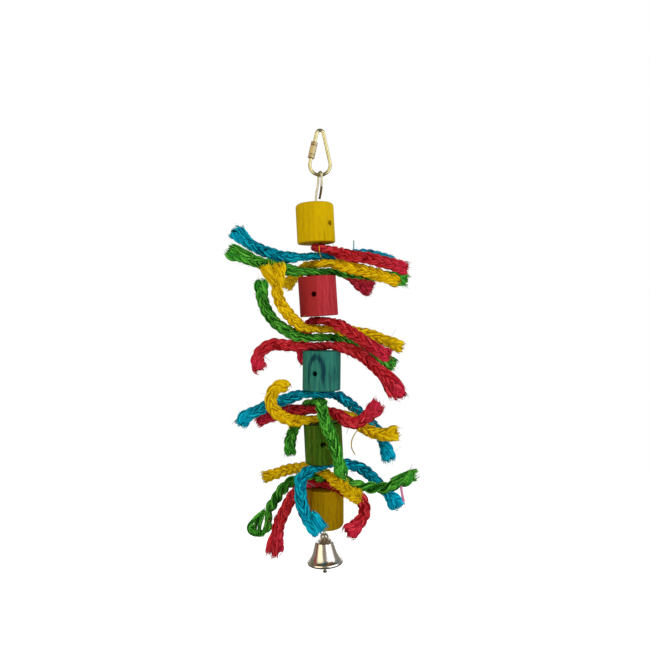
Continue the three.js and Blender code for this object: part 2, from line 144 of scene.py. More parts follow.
# %% The floor
FLOOR_HEIGHT = -0.95
FLOOR_SIZE = 6
FLOOR_GREY = (0.85, 0.85, 0.85, 1)
FLOOR_GLOW = 0.9
bpy.ops.mesh.primitive_plane_add(size=FLOOR_SIZE, location=(0, 0, FLOOR_HEIGHT))
floor = bpy.context.object
floor.name = "floor"
floor_paint = bpy.data.materials.new("pale_floor")
tree = new_tree(floor_paint)
paint = add_node(tree, "ShaderNodeBsdfDiffuse", Color=FLOOR_GREY)
strength = work_out(tree, "MULTIPLY", seen_directly(tree), FLOOR_GLOW)
glow = add_node(tree, "ShaderNodeEmission", Color=WHITE, Strength=strength)
both = add_node(tree, "ShaderNodeAddShader")
tree.links.new(paint.outputs[0], both.inputs[0])
tree.links.new(glow.outputs[0], both.inputs[1])
add_node(tree, "ShaderNodeOutputMaterial", Surface=both.outputs[0])
floor.data.materials.append(floor_paint)
print("floor at", FLOOR_HEIGHT)

# %% The dim room that only mirrors see
ROOM_RADIUS = 1.6
ROOM_HEIGHT = 2.6
ROOM_SIDES = 48
ROOM_OPENING = 1.35
ROOM_ABOVE_FLOOR = 0.01
WALL_GLOW = (0.25, 0.22, 0.18, 1)
CEILING_GLOW = (0.03, 0.03, 0.028, 1)
LEVEL_FACE = 0.9


def even_glow(name, colour):
    """A paint that shows mirrors one even colour."""
    glowing = bpy.data.materials.new(name)
    tree = new_tree(glowing)
    shine = add_node(tree, "ShaderNodeEmission", Color=colour, Strength=1)
    add_node(tree, "ShaderNodeOutputMaterial", Surface=shine.outputs[0])
    return glowing


room_middle = FLOOR_HEIGHT + ROOM_ABOVE_FLOOR + ROOM_HEIGHT / 2
bpy.ops.mesh.primitive_cylinder_add(
    vertices=ROOM_SIDES, radius=ROOM_RADIUS, depth=ROOM_HEIGHT, location=(0, 0, room_middle))
room = bpy.context.object
room.name = "dim_room"
bpy.ops.object.mode_set(mode="EDIT")
bpy.ops.mesh.bisect(plane_co=(0, ROOM_OPENING, 0), plane_no=(0, 1, 0), clear_outer=True)
bpy.ops.object.mode_set(mode="OBJECT")
for ray in ("camera", "diffuse", "transmission", "shadow"):
    setattr(room, "visible_" + ray, False)
room.data.materials.append(even_glow("dim_wall", WALL_GLOW))
room.data.materials.append(even_glow("dark_ceiling", CEILING_GLOW))
for face in room.data.polygons:
    face.material_index = int(abs(face.normal.z) > LEVEL_FACE)
print("room radius", ROOM_RADIUS)

# %% The two box lights
LIGHT_TARGET = Vector((0.003, 0, -0.16))


def box_light(name, place, width, height, power, colour):
    """An area lamp at a place, turned towards the toy."""
    bpy.ops.object.light_add(type="AREA", location=place)
    lamp = bpy.context.object
    lamp.name = name
    lamp.rotation_euler = (LIGHT_TARGET - Vector(place)).to_track_quat("-Z", "Y").to_euler()
    lamp.data.shape = "RECTANGLE"
    lamp.data.size = width
    lamp.data.size_y = height
    lamp.data.energy = power
    lamp.data.color = colour


box_light("white_box_right", place=(0.74, -0.58, 0.04), width=1.3, height=1.5, power=7.5,
          colour=(1, 1, 1))
box_light("warm_box_left", place=(-0.66, -0.66, 0), width=0.8, height=1.45, power=4.4,
          colour=(1, 0.86, 0.56))

# %% [markdown]
# ## The ropes' routes
# Each rope is pierced by the wire at its middle, and its two arms stand out from the stack. Its route
# is a list of points from one cut end to the other, measured from the place where the wire goes
# through, and a smooth curve passes through them. The solids follow the same points.

# %% The ropes' routes
ROPE_ROUTES = {
    "rope_1_red": [
        (0.061, -0.016, -0.0159), (0.048, -0.016, -0.0123), (0.034, -0.015, -0.0088),
        (0.021, -0.0124, -0.0066), (0.011, -0.0072, -0.0028), (0, 0, 0), (0.006, 0.011, 0),
        (0.013, 0.022, -0.0044), (0.0214, 0.031, -0.013), (0.0304, 0.036, -0.0224),
        (0.0396, 0.038, -0.0292)],
    "rope_1_blue": [
        (-0.0595, 0.008, 0.0192), (-0.053, 0.008, 0.013), (-0.0445, 0.007, 0.0072),
        (-0.0345, 0.006, 0.0029), (-0.025, 0.004, -0.0002), (-0.012, 0.002, -0.0007), (0, 0, 0),
        (0.012, 0.005, 0.0004), (0.027, 0.011, 0.0019), (0.041, 0.014, 0.0017), (0.055, 0.016, -0.0031)],
    "rope_1_yellow": [
        (0.055, -0.014, -0.0134), (0.047, -0.013, -0.0104), (0.038, -0.012, -0.0074),
        (0.029, -0.0108, -0.0047), (0.021, -0.0087, -0.0027), (0.011, -0.005, -0.0001), (0, 0, 0),
        (-0.006, 0.012, -0.0002), (-0.012, 0.026, -0.0024), (-0.019, 0.04, -0.0074),
        (-0.025, 0.05, -0.0124)],
    "rope_1_green": [
        (-0.0615, -0.006, 0.0143), (-0.054, -0.006, 0.0113), (-0.046, -0.006, 0.0083),
        (-0.038, -0.006, 0.0055), (-0.028, -0.005, 0.0029), (-0.014, -0.003, 0.0006), (0, 0, 0),
        (0.012, 0.004, 0.0007), (0.024, 0.007, 0.0003), (0.037, 0.008, -0.0007), (0.05, 0.008, -0.0026),
        (0.063, 0.007, -0.0047)],
    "rope_2_red_upper": [
        (0.0466, -0.026, -0.0238), (0.039, -0.025, -0.0198), (0.03, -0.023, -0.0138),
        (0.023, -0.02, -0.0088), (0.015, -0.015, -0.0038), (0.008, -0.008, -0.0009), (0, 0, 0),
        (-0.005, 0.012, -0.0009), (-0.009, 0.024, -0.0068), (-0.012, 0.032, -0.0158),
        (-0.013, 0.034, -0.0238), (-0.01, 0.033, -0.0328)],
    "rope_2_yellow": [
        (-0.0264, -0.024, 0.043), (-0.0264, -0.024, 0.037), (-0.0272, -0.023, 0.0308),
        (-0.0276, -0.022, 0.0238), (-0.0256, -0.02, 0.0176), (-0.0215, -0.017, 0.0115),
        (-0.0164, -0.013, 0.0056), (-0.009, -0.007, 0.0009), (0, 0, 0), (0.01, -0.002, 0),
        (0.021, 0, -0.0016), (0.032, 0.004, -0.0032), (0.043, 0.006, -0.0066), (0.051, 0.007, -0.0098),
        (0.0588, 0.007, -0.0133)],
    "rope_2_green": [
        (-0.0409, -0.004, 0.0394), (-0.0399, -0.005, 0.0324), (-0.0389, -0.006, 0.0254),
        (-0.036, -0.007, 0.0184), (-0.031, -0.008, 0.0115), (-0.024, -0.008, 0.0058),
        (-0.0165, -0.006, 0.002), (-0.009, -0.003, 0), (0, 0, 0), (0.01, 0.005, -0.0002),
        (0.02, 0.01, -0.0016), (0.031, 0.013, -0.0067), (0.043, 0.014, -0.0137),
        (0.0536, 0.013, -0.0204)],
    "rope_2_red_lower": [
        (-0.0406, -0.01, -0.0157), (-0.0427, -0.01, -0.0112), (-0.042, -0.01, -0.0067),
        (-0.0388, -0.01, -0.0023), (-0.034, -0.01, 0.0009), (-0.027, -0.009, 0.0013),
        (-0.019, -0.007, 0.0004), (-0.01, -0.004, 0), (0, 0, 0), (0.01, -0.004, 0.0004),
        (0.021, -0.008, -0.0021), (0.031, -0.01, -0.0076), (0.038, -0.011, -0.014),
        (0.0456, -0.011, -0.0202), (0.052, -0.011, -0.0274), (0.0554, -0.011, -0.0345)],
    "rope_3_blue": [
        (-0.0566, 0.004, -0.0222), (-0.054, 0.004, -0.0177), (-0.049, 0.004, -0.0138),
        (-0.042, 0.004, -0.0108), (-0.034, 0.003, -0.007), (-0.025, 0.002, -0.0039),
        (-0.014, 0.001, -0.0004), (0, 0, 0), (0.01, 0.006, -0.0015), (0.018, 0.011, -0.0059),
        (0.025, 0.015, -0.012), (0.031, 0.018, -0.0178), (0.038, 0.02, -0.0252), (0.044, 0.021, -0.0332),
        (0.0478, 0.021, -0.0422), (0.0498, 0.02, -0.0507)],
    "rope_3_green": [
        (0.014, -0.0204, -0.0459), (0.012, -0.02, -0.0375), (0.0098, -0.02, -0.0285),
        (0.0064, -0.02, -0.0195), (0.003, -0.02, -0.0105), (0.001, -0.016, -0.0034), (0, -0.009, 0),
        (0, 0, 0), (-0.005, 0.01, -0.0011), (-0.012, 0.019, -0.0065), (-0.0174, 0.024, -0.016),
        (-0.0215, 0.026, -0.026), (-0.0232, 0.026, -0.0345), (-0.023, 0.025, -0.0415)],
    "rope_3_red": [
        (-0.0465, 0.014, -0.0098), (-0.041, 0.014, -0.0074), (-0.032, 0.013, -0.0048),
        (-0.023, 0.011, -0.0019), (-0.012, 0.006, -0.0004), (0, 0, 0), (0.006, -0.004, 0),
        (0.011, -0.008, -0.0014), (0.016, -0.012, -0.0048), (0.022, -0.014, -0.0068),
        (0.028, -0.015, -0.0048), (0.033, -0.015, -0.0002), (0.0395, -0.015, 0.0057)],
    "rope_3_yellow": [
        (-0.0235, -0.015, 0.0224), (-0.027, -0.015, 0.0249), (-0.0308, -0.015, 0.0224),
        (-0.0338, -0.015, 0.0179), (-0.034, -0.015, 0.0123), (-0.0315, -0.014, 0.0073),
        (-0.0264, -0.013, 0.0029), (-0.019, -0.01, -0.0001), (-0.01, -0.005, -0.0003), (0, 0, 0),
        (0.01, 0.003, 0.0008), (0.017, 0.003, 0.0009), (0.023, 0.001, -0.0011), (0.029, 0, -0.0062),
        (0.037, 0, -0.0102), (0.045, 0, -0.0112), (0.053, 0, -0.0102)],
    "rope_4_blue": [
        (-0.0022, -0.024, -0.0394), (-0.0052, -0.025, -0.0364), (-0.0092, -0.026, -0.0304),
        (-0.0123, -0.026, -0.0244), (-0.0144, -0.026, -0.0164), (-0.0145, -0.024, -0.0103),
        (-0.0138, -0.019, -0.0043), (-0.009, -0.012, -0.0012), (0, 0, 0), (0.009, 0.009, -0.0003),
        (0.018, 0.013, -0.0022), (0.027, 0.015, -0.0049), (0.0346, 0.016, -0.0106),
        (0.041, 0.016, -0.0175), (0.048, 0.016, -0.0246), (0.055, 0.016, -0.0334)],
    "rope_4_yellow": [
        (0.023, -0.042, -0.007), (0.018, -0.034, -0.006), (0.012, -0.024, -0.004),
        (0.006, -0.012, -0.0015), (0, 0, 0), (-0.007, 0.009, -0.0003), (-0.014, 0.015, -0.001),
        (-0.021, 0.02, -0.0022), (-0.029, 0.023, -0.0046), (-0.037, 0.025, -0.0078),
        (-0.044, 0.026, -0.0108)],
    "rope_4_green": [
        (-0.052, 0.011, -0.0366), (-0.0498, 0.011, -0.0404), (-0.046, 0.011, -0.0422),
        (-0.0418, 0.011, -0.0411), (-0.0386, 0.011, -0.0374), (-0.0382, 0.011, -0.0328),
        (-0.0392, 0.011, -0.0286), (-0.0374, 0.011, -0.0234), (-0.034, 0.011, -0.0183),
        (-0.0301, 0.01, -0.0121), (-0.0254, 0.009, -0.0068), (-0.0191, 0.008, -0.0033),
        (-0.011, 0.005, -0.0005), (0, 0, 0), (0.009, -0.002, 0), (0.018, -0.003, -0.0025),
        (0.025, -0.003, -0.0046), (0.033, -0.003, -0.006), (0.041, -0.003, -0.0064),
        (0.05, -0.003, -0.0038), (0.057, -0.003, -0.001), (0.063, -0.003, 0.0032)],
    "rope_4_red": [
        (-0.033, -0.006, -0.0446), (-0.032, -0.006, -0.0376), (-0.0316, -0.006, -0.0308),
        (-0.0298, -0.005, -0.0242), (-0.027, -0.004, -0.0182), (-0.023, -0.002, -0.0107),
        (-0.0183, -0.0003, -0.005), (-0.0122, 0.0006, -0.0001), (0, 0, 0), (0.008, -0.007, 0.0002),
        (0.016, -0.013, -0.002), (0.024, -0.016, -0.0044), (0.0277, -0.017, -0.0096),
        (0.0274, -0.017, -0.0166), (0.0232, -0.016, -0.0236), (0.0168, -0.015, -0.0296)],
}
print("routes:", len(ROPE_ROUTES))

# %% [markdown]
# ## A smooth line through the points
# A Catmull-Rom curve passes through every point and turns gently between them. The curve is cut into
# even steps of half a millimetre, and runs on straight for a little past both cut ends, so that loose
# fibres have a line to follow there.

# %% A smooth line through the points
ROUTE_STEP = 0.0005
ROUTE_SPARE = 0.008
SAMPLES_PER_SPAN = 24
END_STEPS = 3


def unit(vectors):
    return vectors / np.linalg.norm(vectors, axis=-1, keepdims=True)


def ease(values, low, high):
    """0 at low, 1 at high, and smooth between them."""
    share = np.clip((np.asarray(values) - low) / (high - low), 0, 1)
    return share * share * (3 - 2 * share)


def smooth_line(points):
    """Points of a centripetal Catmull-Rom curve through a list of points."""
    p = np.array(points, float)
    p = np.vstack([2 * p[0] - p[1], p, 2 * p[-1] - p[-2]])
    knots = np.concatenate([[0], np.cumsum(np.linalg.norm(np.diff(p, axis=0), axis=1) ** 0.5)])
    spans = []
    for i in range(1, len(p) - 2):
        t = np.linspace(knots[i], knots[i + 1], SAMPLES_PER_SPAN, endpoint=False)[:, None]
        k = knots[i - 1 : i + 3]
        q = [
            ((k[j + 1] - t) * p[i - 1 + j] + (t - k[j]) * p[i + j]) / (k[j + 1] - k[j])
            for j in range(3)
        ]
        r = [((k[j + 2] - t) * q[j] + (t - k[j]) * q[j + 1]) / (k[j + 2] - k[j]) for j in range(2)]
        spans.append(((k[2] - t) * r[0] + (t - k[1]) * r[1]) / (k[2] - k[1]))
    return np.vstack(spans + [p[-2][None]])


def distance_along(line):
    return np.concatenate([[0], np.cumsum(np.linalg.norm(np.diff(line, axis=0), axis=1))])


def read_line(values, along, places):
    """Values of a line at given distances along it."""
    return np.stack([np.interp(places, along, values[:, i]) for i in range(values.shape[1])], axis=-1)


def even_line(points):
    """The smooth line in even steps, run on straight past both ends, and its length between them."""
    line = smooth_line(points)
    along = distance_along(line)
    count = round(along[-1] / ROUTE_STEP)
    line = read_line(line, along, np.linspace(0, along[-1], count + 1))
    spare = np.arange(1, round(ROUTE_SPARE / ROUTE_STEP) + 1)[:, None] * ROUTE_STEP
    before = line[0] + unit(line[0] - line[END_STEPS]) * spare[::-1]
    after = line[-1] + unit(line[-1] - line[-1 - END_STEPS]) * spare
    return np.vstack([before, line, after]), distance_along(line)[-1]


for name, points in ROPE_ROUTES.items():
    print(name, "length", round(even_line(points)[1], 4))

# %% [markdown]
# ## How a plait is laid
# Most of the ropes are plaits of three strands. In a plait each strand sways from side to side once
# in a pitch, and rises to the front and sinks to the back twice, so it goes over one neighbour and
# under the other. Two sines give exactly that, a third of a pitch apart for the three strands. One
# green rope is only two strands twisted round each other, which is one sine and one cosine.
# Between the blocks a plait lies flat, and on its way out it turns its broad face to the front. Some
# cut ends have opened more than others, so each end has its own spread. The green rope's first end
# is a bight, where the cord is thin.

# %% How a plait is laid
PLAIT_PITCH = 0.0162
PLAIT_SWAY = 0.00172
PLAIT_LIFT = 0.00108
STRAND_WIDTH = 0.0049
STRAND_THICKNESS = 0.0034
TWIST_PITCH = 0.0165
TWIST_REACH = 0.00185
TWIST_STRAND = 0.0042
TWISTED_ROPES = ("rope_4_green",)
END_LENGTH = 0.011
END_SPREAD = {
    "rope_1_red": (0.1, 0.25), "rope_1_blue": (0.35, 0.1), "rope_1_yellow": (0.05, 0.3),
    "rope_1_green": (0.3, 0.3), "rope_2_red_upper": (0.12, 0.05), "rope_2_yellow": (0.15, 0.12),
    "rope_2_green": (0.25, 0.3), "rope_2_red_lower": (0.3, 0.25), "rope_3_blue": (0.3, 0.35),
    "rope_3_green": (0.25, 0.05), "rope_3_red": (0.12, 0.45), "rope_3_yellow": (0.1, 0.35),
    "rope_4_blue": (0.1, 0.5), "rope_4_yellow": (0.3, 0.12), "rope_4_green": (-0.42, 0.2),
    "rope_4_red": (0.4, 0.4)}
BIGHT_THIN = (0.022, 0.036)
print("pitch:", PLAIT_PITCH, "for a plait and", TWIST_PITCH, "for the twisted rope")

# %% A rope's middle line
# A drift is given by the distance between its random knots and by its size.
FACE_TURN = (0.006, 0.024)
ROLL_DRIFT = (0.03, 0.3)
LEAST_KNOTS = 4


def drift(rng, along, spacing, size):
    """A slow random wander along a line."""
    count = max(LEAST_KNOTS, int((along[-1] - along[0]) / spacing) + 2)
    knots = np.linspace(along[0], along[-1], count)
    coarse = np.interp(along, knots, rng.normal(0, size, count))
    width = max(1, int(spacing / ROUTE_STEP / 2))
    kernel = np.hanning(2 * width + 1)
    return np.convolve(np.pad(coarse, width, mode="edge"), kernel / kernel.sum(), mode="valid")


def rope_line(rng, points):
    """A rope's middle line with its tangent, its broad side and its face at each step."""
    middle, length = even_line(points)
    along = np.arange(len(middle)) * ROUTE_STEP - ROUTE_SPARE
    tangent = unit(np.gradient(middle, axis=0))
    turned = ease(np.hypot(middle[:, 0], middle[:, 1]), *FACE_TURN)[:, None]
    face = (1 - turned) * np.array([0, 0, 1.0]) + turned * np.array([0, -1.0, 0])
    face = unit(face - tangent * np.sum(face * tangent, axis=1, keepdims=True))
    side = np.cross(tangent, face)
    roll = drift(rng, along, *ROLL_DRIFT)[:, None] * turned
    face, side = face * np.cos(roll) + side * np.sin(roll), side * np.cos(roll) - face * np.sin(roll)
    crossing = along[np.argmin(np.linalg.norm(middle, axis=1))]
    return {"middle": middle, "along": along, "tangent": tangent, "face": face, "side": side,
            "length": length, "crossing": crossing}


print("a rope's face turns to the front between", *FACE_TURN, "from the wire")

# %% Its strands' middle lines
PHASE_DRIFT = (0.02, 0.35)
STRAND_DRIFT = (0.012, 0.12)
SWAY_DRIFT = (0.015, 0.08)
SWELL_DRIFT = (0.008, 0.05)


def strand_lines(rng, rope, spread, twisted):
    """The middle lines of a rope's strands, with the directions and half sizes of their sections."""
    along = rope["along"]
    start_range = (0, END_LENGTH * (1 + spread[0])) if spread[0] > 0 else BIGHT_THIN
    near_start = 1 - ease(along, *start_range)
    near_stop = 1 - ease(rope["length"] - along, 0, END_LENGTH * (1 + spread[1]))
    flare = 1 + spread[0] * near_start + spread[1] * near_stop
    pitch = TWIST_PITCH if twisted else PLAIT_PITCH
    turn = 2 * math.pi * (along - rope["crossing"]) / pitch + drift(rng, along, *PHASE_DRIFT)
    count = 2 if twisted else 3
    strands = []
    for i in range(count):
        angle = turn + 2 * math.pi * i / count + drift(rng, along, *STRAND_DRIFT)
        if twisted:
            sway, lift = TWIST_REACH * np.cos(angle), TWIST_REACH * np.sin(angle)
            wide, thick = TWIST_STRAND / 2, TWIST_STRAND / 2
        else:
            sway = PLAIT_SWAY * (1 + drift(rng, along, *SWAY_DRIFT)) * np.sin(angle)
            lift = PLAIT_LIFT * np.sin(2 * angle)
            wide, thick = STRAND_WIDTH / 2, STRAND_THICKNESS / 2
        line = rope["middle"] + rope["side"] * (sway * flare)[:, None]
        line = line + rope["face"] * (lift * flare)[:, None]
        tangent = unit(np.gradient(line, axis=0))
        up = unit(rope["face"] - tangent * np.sum(rope["face"] * tangent, axis=1, keepdims=True))
        swell = flare + drift(rng, along, *SWELL_DRIFT)
        strands.append({"line": line, "tangent": tangent, "across": np.cross(tangent, up), "up": up,
                        "wide": wide * swell, "thick": thick * swell})
    return strands


spreads = [share for ends in END_SPREAD.values() for share in ends]
print("ends that spread:", sum(share > 0 for share in spreads), "of", len(spreads))

# %% [markdown]
# ## Tubes from rings
# A strand, a fibre and a hair are all tubes: rings of points along a line, joined ring to ring, with
# a face on each end. One helper makes a single mesh from any number of such tubes, and another keeps
# numbers at their points for the dye to read.

# %% Tubes from rings
STEEP_WAY = 0.8


def tubes_piece(name, groups):
    """One mesh piece from groups of tubes, each an array of tubes, rings, ring points and x, y, z."""
    points, faces, first = [], [], 0
    for rings in groups:
        tubes, steps, sides, _ = rings.shape
        index = np.arange(tubes * steps * sides).reshape(tubes, steps, sides) + first
        ahead = np.roll(index, -1, axis=2)
        walls = np.stack([index[:, :-1], ahead[:, :-1], ahead[:, 1:], index[:, 1:]], axis=-1)
        faces += walls.reshape(-1, 4).tolist() + index[:, 0, ::-1].tolist() + index[:, -1].tolist()
        points.append(rings.reshape(-1, 3))
        first += tubes * steps * sides
    mesh = bpy.data.meshes.new(name)
    mesh.from_pydata(np.vstack(points).tolist(), [], faces)
    mesh.polygons.foreach_set("use_smooth", np.ones(len(mesh.polygons), bool))
    mesh.update()
    piece = bpy.data.objects.new(name, mesh)
    bpy.context.scene.collection.objects.link(piece)
    return piece


def keep_at_points(piece, name, values):
    """Stores a number, or three, at each point of a piece."""
    values = np.ascontiguousarray(values, np.float32)
    kind, field = ("FLOAT_VECTOR", "vector") if values.ndim == 2 else ("FLOAT", "value")
    piece.data.attributes.new(name, kind, "POINT").data.foreach_set(field, values.ravel())


def thin_rings(lines, base, tip, sides):
    """Rings round many short lines, thick at the base and fine at the tip."""
    tangent = unit(np.gradient(lines, axis=1))
    way = unit(lines[:, -1] - lines[:, 0])
    level = np.abs(way[:, 2:3]) < STEEP_WAY
    helper = np.where(level, np.array([[0, 0, 1.0]]), np.array([[1.0, 0, 0]]))
    across = unit(np.cross(tangent, helper[:, None]))
    up = np.cross(across, tangent)
    share = np.linspace(0, 1, lines.shape[1])[None]
    radius = (base[:, None] * (1 - share) + tip[:, None] * share)[..., None, None]
    angle = np.linspace(0, 2 * math.pi, sides, endpoint=False)[:, None]
    round_about = across[:, :, None] * np.cos(angle) + up[:, :, None] * np.sin(angle)
    return lines[:, :, None] + radius * round_about


print("helpers for tubes are ready")

# %% [markdown]
# ## The strands
# A strand's section is a soft ellipse with yarn lobes that wind slowly along it, roughened by ridges
# that run with the fibres. Each strand stops at its own length, rounded off, as a cut rope does.
# Between two blocks a rope is pressed flat, and what sank into a block goes back to the block's end.
# The dye needs to know how deep a point lies between the strands and in the grooves between yarn lobes,
# where painted shade darkens the colour, how near it is to a cut end, and its place in the straightened
# strand, so that the colour can be streaked along the fibres. These are kept at the points.

# %% Pressed between the blocks
BLOCK_RADIUS = 0.0133
BLOCK_HEIGHT = 0.0276
BLOCK_JOINTS = [name for name in joint_axis if name.startswith("block")]
PLAIT_THICKNESS = 2 * PLAIT_LIFT + STRAND_THICKNESS
PLAIT_WIDTH = 2 * PLAIT_SWAY + STRAND_WIDTH
PRESS_INSIDE = 0.001
PRESS_FADE = 0.0045
PRESS_SLACK = 0.0015
REST_FADE = 0.002
SINK_LIMIT = (0.0022, 0.0034)


def press(points, height):
    """Flattens a rope to its share of the space between two blocks. It swells again outside them."""
    reach = np.hypot(points[..., 0], points[..., 1])
    turned = ease(reach, *FACE_TURN)
    tall = PLAIT_THICKNESS * (1 - turned) + PLAIT_WIDTH * turned
    flat = np.minimum(1, (height + PRESS_SLACK) / tall)
    share = flat + (1 - flat) * ease(reach, BLOCK_RADIUS - PRESS_INSIDE, BLOCK_RADIUS + PRESS_FADE)
    return points * np.stack([np.ones_like(share), np.ones_like(share), share], axis=-1)


def rest_on_blocks(points, tier):
    """Moves points that sank into the blocks above and below a space back to those blocks' ends."""
    for joint, way in ((BLOCK_JOINTS[tier - 1], -1), (BLOCK_JOINTS[tier], 1)):
        axis = np.array(joint_axis[joint]) * way
        offset = points - np.array(joint_place[joint])
        height = offset @ axis
        reach = np.linalg.norm(offset - height[..., None] * axis, axis=-1)
        sunk = np.maximum(BLOCK_HEIGHT / 2 - height, 0)
        inside = 1 - ease(reach, BLOCK_RADIUS, BLOCK_RADIUS + REST_FADE)
        under = inside * (1 - ease(sunk, *SINK_LIMIT))
        points = points + (sunk * under)[..., None] * axis
    return points


print("a plait is", round(PLAIT_WIDTH, 4), "wide and", round(PLAIT_THICKNESS, 4), "thick")

# %% The strands
STRAND_SIDES = 30
STRAND_STEP = 0.0006
YARN_LOBES = 6
YARN_DEPTH = 0.11
YARN_SHADE = 0.55
YARN_PITCH = 0.021
RIDGE_DEPTH = 0.045
RIDGE_STEPS = 8
SPARE_RIDGES = 3
RIDGE_MARGIN = 0.001
RAGGED_CUT = 0.0014
TIP_ROUND = 0.0012
TIP_FLAT = 0.1
TIP_SHADE_LENGTH = 0.018


def ridges(rng, steps, sides):
    """Random ridges that are fine round a strand and slow along it."""
    coarse = rng.normal(0, 1, (steps // RIDGE_STEPS + SPARE_RIDGES, sides))
    places = np.linspace(0, len(coarse) - 1 - RIDGE_MARGIN, steps)
    low = places.astype(int)
    share = (places - low)[:, None]
    return coarse[low] * (1 - share) + coarse[low + 1] * share


def strand_rings(rng, rope, strand):
    """Rings of one strand, with what the dye needs to know of their points."""
    along = rope["along"]
    start = rng.uniform(0, RAGGED_CUT)
    stop = rope["length"] - rng.uniform(0, RAGGED_CUT)
    places = np.linspace(start, stop, round((stop - start) / STRAND_STEP))
    angle = np.linspace(0, 2 * math.pi, STRAND_SIDES, endpoint=False)[None]
    winding = 2 * math.pi * places[:, None] / YARN_PITCH + rng.uniform(0, 2 * math.pi)
    lobes = np.cos(YARN_LOBES * angle - winding)
    radius = 1 + YARN_DEPTH * lobes
    radius = radius + RIDGE_DEPTH * ridges(rng, len(places), STRAND_SIDES)
    to_tip = np.minimum(places - start, stop - places)
    rounding = np.sqrt(np.clip(1 - (1 - np.clip(to_tip / TIP_ROUND, 0, 1)) ** 2, TIP_FLAT, 1))
    radius = radius * rounding[:, None]
    wide = np.interp(places, along, strand["wide"])[:, None] * radius * np.cos(angle)
    thick = np.interp(places, along, strand["thick"])[:, None] * radius * np.sin(angle)
    rings = (
        read_line(strand["line"], along, places)[:, None]
        + read_line(strand["across"], along, places)[:, None] * wide[..., None]
        + read_line(strand["up"], along, places)[:, None] * thick[..., None]
    )
    straight = np.stack([np.broadcast_to(places[:, None], wide.shape), wide, thick], axis=-1)
    end = np.broadcast_to(1 - ease(to_tip, 0, TIP_SHADE_LENGTH)[:, None], wide.shape)
    # Painted shade: the grooves between yarn lobes are darkened.
    groove = YARN_SHADE * (1 - lobes) / 2
    return rings[None], straight.reshape(-1, 3), end.ravel(), groove.ravel()


print("points on a strand's ring:", STRAND_SIDES)

# %% Painted shade in the creases between strands
CREASE_NEAR = (0.0013, 0.0026)
CREASE_BATCH = 4000
CREASE_SKIP = 2


def crease_shade_mask(rings, other_lines):
    """A mask of painted shade: 1 where a strand touches the middle of another one and 0 on its open
    crown.
    """
    points = rings.reshape(-1, 3)
    nearest = np.ones(len(points))
    for line in other_lines:
        for first in range(0, len(points), CREASE_BATCH):
            part = slice(first, first + CREASE_BATCH)
            gaps = np.linalg.norm(points[part, None] - line[None, ::CREASE_SKIP], axis=2)
            nearest[part] = np.minimum(nearest[part], gaps.min(axis=1))
    return 1 - ease(nearest, *CREASE_NEAR)


print("creases start", CREASE_NEAR[1], "from another strand's middle")

# %% [markdown]
# ## Loose fibres
# Sisal is stiff and hairy. Short fibres lie on the strands and lift at their tips, longer hairs stand
# off, a few thick wisps stick out, and each cut end is a brush of fibres of uneven length. A real
# particle system would do, but fine tubes that follow the strands stay the same in every program.

# %% Fibres along a strand
FIBRE_POINTS = 6
FIBRE_SIDES = 3
LYING_LENGTH = (0.004, 0.011)
LYING_PAST_END = 0.0008
LYING_WIND = 0.5
LYING_LIFT = (0.05, 0.55)
BRUSH_ROOT = (0.003, 0.009)
BRUSH_PAST_END = (-0.0004, 0.0005)
BRUSH_PAST_LIMIT = (-0.0015, 0.0010)
BRUSH_WIND = 0.25
BRUSH_REACH = (0.3, 1.04)
BRUSH_FAN = (0, 0.12)


def on_strand(rope, strand, places, angle, reach):
    """Points at a distance along a strand, an angle round it and a share of its radius."""
    along = rope["along"]
    wide = np.interp(places, along, strand["wide"]) * np.cos(angle) * reach
    thick = np.interp(places, along, strand["thick"]) * np.sin(angle) * reach
    return (
        read_line(strand["line"], along, places)
        + read_line(strand["across"], along, places) * wide[..., None]
        + read_line(strand["up"], along, places) * thick[..., None]
    )


def lying_fibres(rng, rope, strand, count):
    """Fibres that follow a strand and lift towards their tips."""
    share = np.linspace(0, 1, FIBRE_POINTS)[None]
    way = rng.choice([-1, 1], (count, 1))
    start = rng.uniform(0, rope["length"], (count, 1))
    places = start + way * rng.uniform(*LYING_LENGTH, (count, 1)) * share
    places = np.clip(places, -LYING_PAST_END * share, rope["length"] + LYING_PAST_END * share)
    angle = rng.uniform(0, 2 * math.pi, (count, 1)) + rng.normal(0, LYING_WIND, (count, 1)) * share
    reach = 1 + rng.uniform(*LYING_LIFT, (count, 1)) * share**2
    return on_strand(rope, strand, places, angle, reach)


def brush_fibres(rng, rope, strand, count):
    """Fibres at both cut ends, from inside the strand to a little past it."""
    share = np.linspace(0, 1, FIBRE_POINTS)[None]
    base = rng.uniform(*BRUSH_ROOT, (count, 1))
    past = np.clip(rng.normal(*BRUSH_PAST_END, (count, 1)), *BRUSH_PAST_LIMIT)
    depth = base * (1 - share) - past * share
    far = rng.choice([True, False], (count, 1))
    places = np.where(far, rope["length"] - depth, depth)
    angle = rng.uniform(0, 2 * math.pi, (count, 1)) + rng.normal(0, BRUSH_WIND, (count, 1)) * share
    reach = rng.uniform(*BRUSH_REACH, (count, 1)) * (1 + rng.uniform(*BRUSH_FAN, (count, 1)) * share**2)
    return on_strand(rope, strand, places, angle, reach)


print("points along a fibre:", FIBRE_POINTS)

# %% Hairs, wisps and all of a rope's fibres
LYING_PER_STRAND = 130
BRUSH_PER_STRAND = 110
HAIRS_PER_STRAND = 26
WISPS_PER_STRAND = 8
HAIR_LENGTH = (0.0015, 0.0065)
WISP_LENGTH = (0.002, 0.0075)
HAIR_CLEAR_OF_WIRE = 0.017
HAIR_ROOT = 0.9
HAIR_OUTWARD = (0.35, 1)
HAIR_FORWARD = (0.4, 1.2)
HAIR_BEND = 0.32
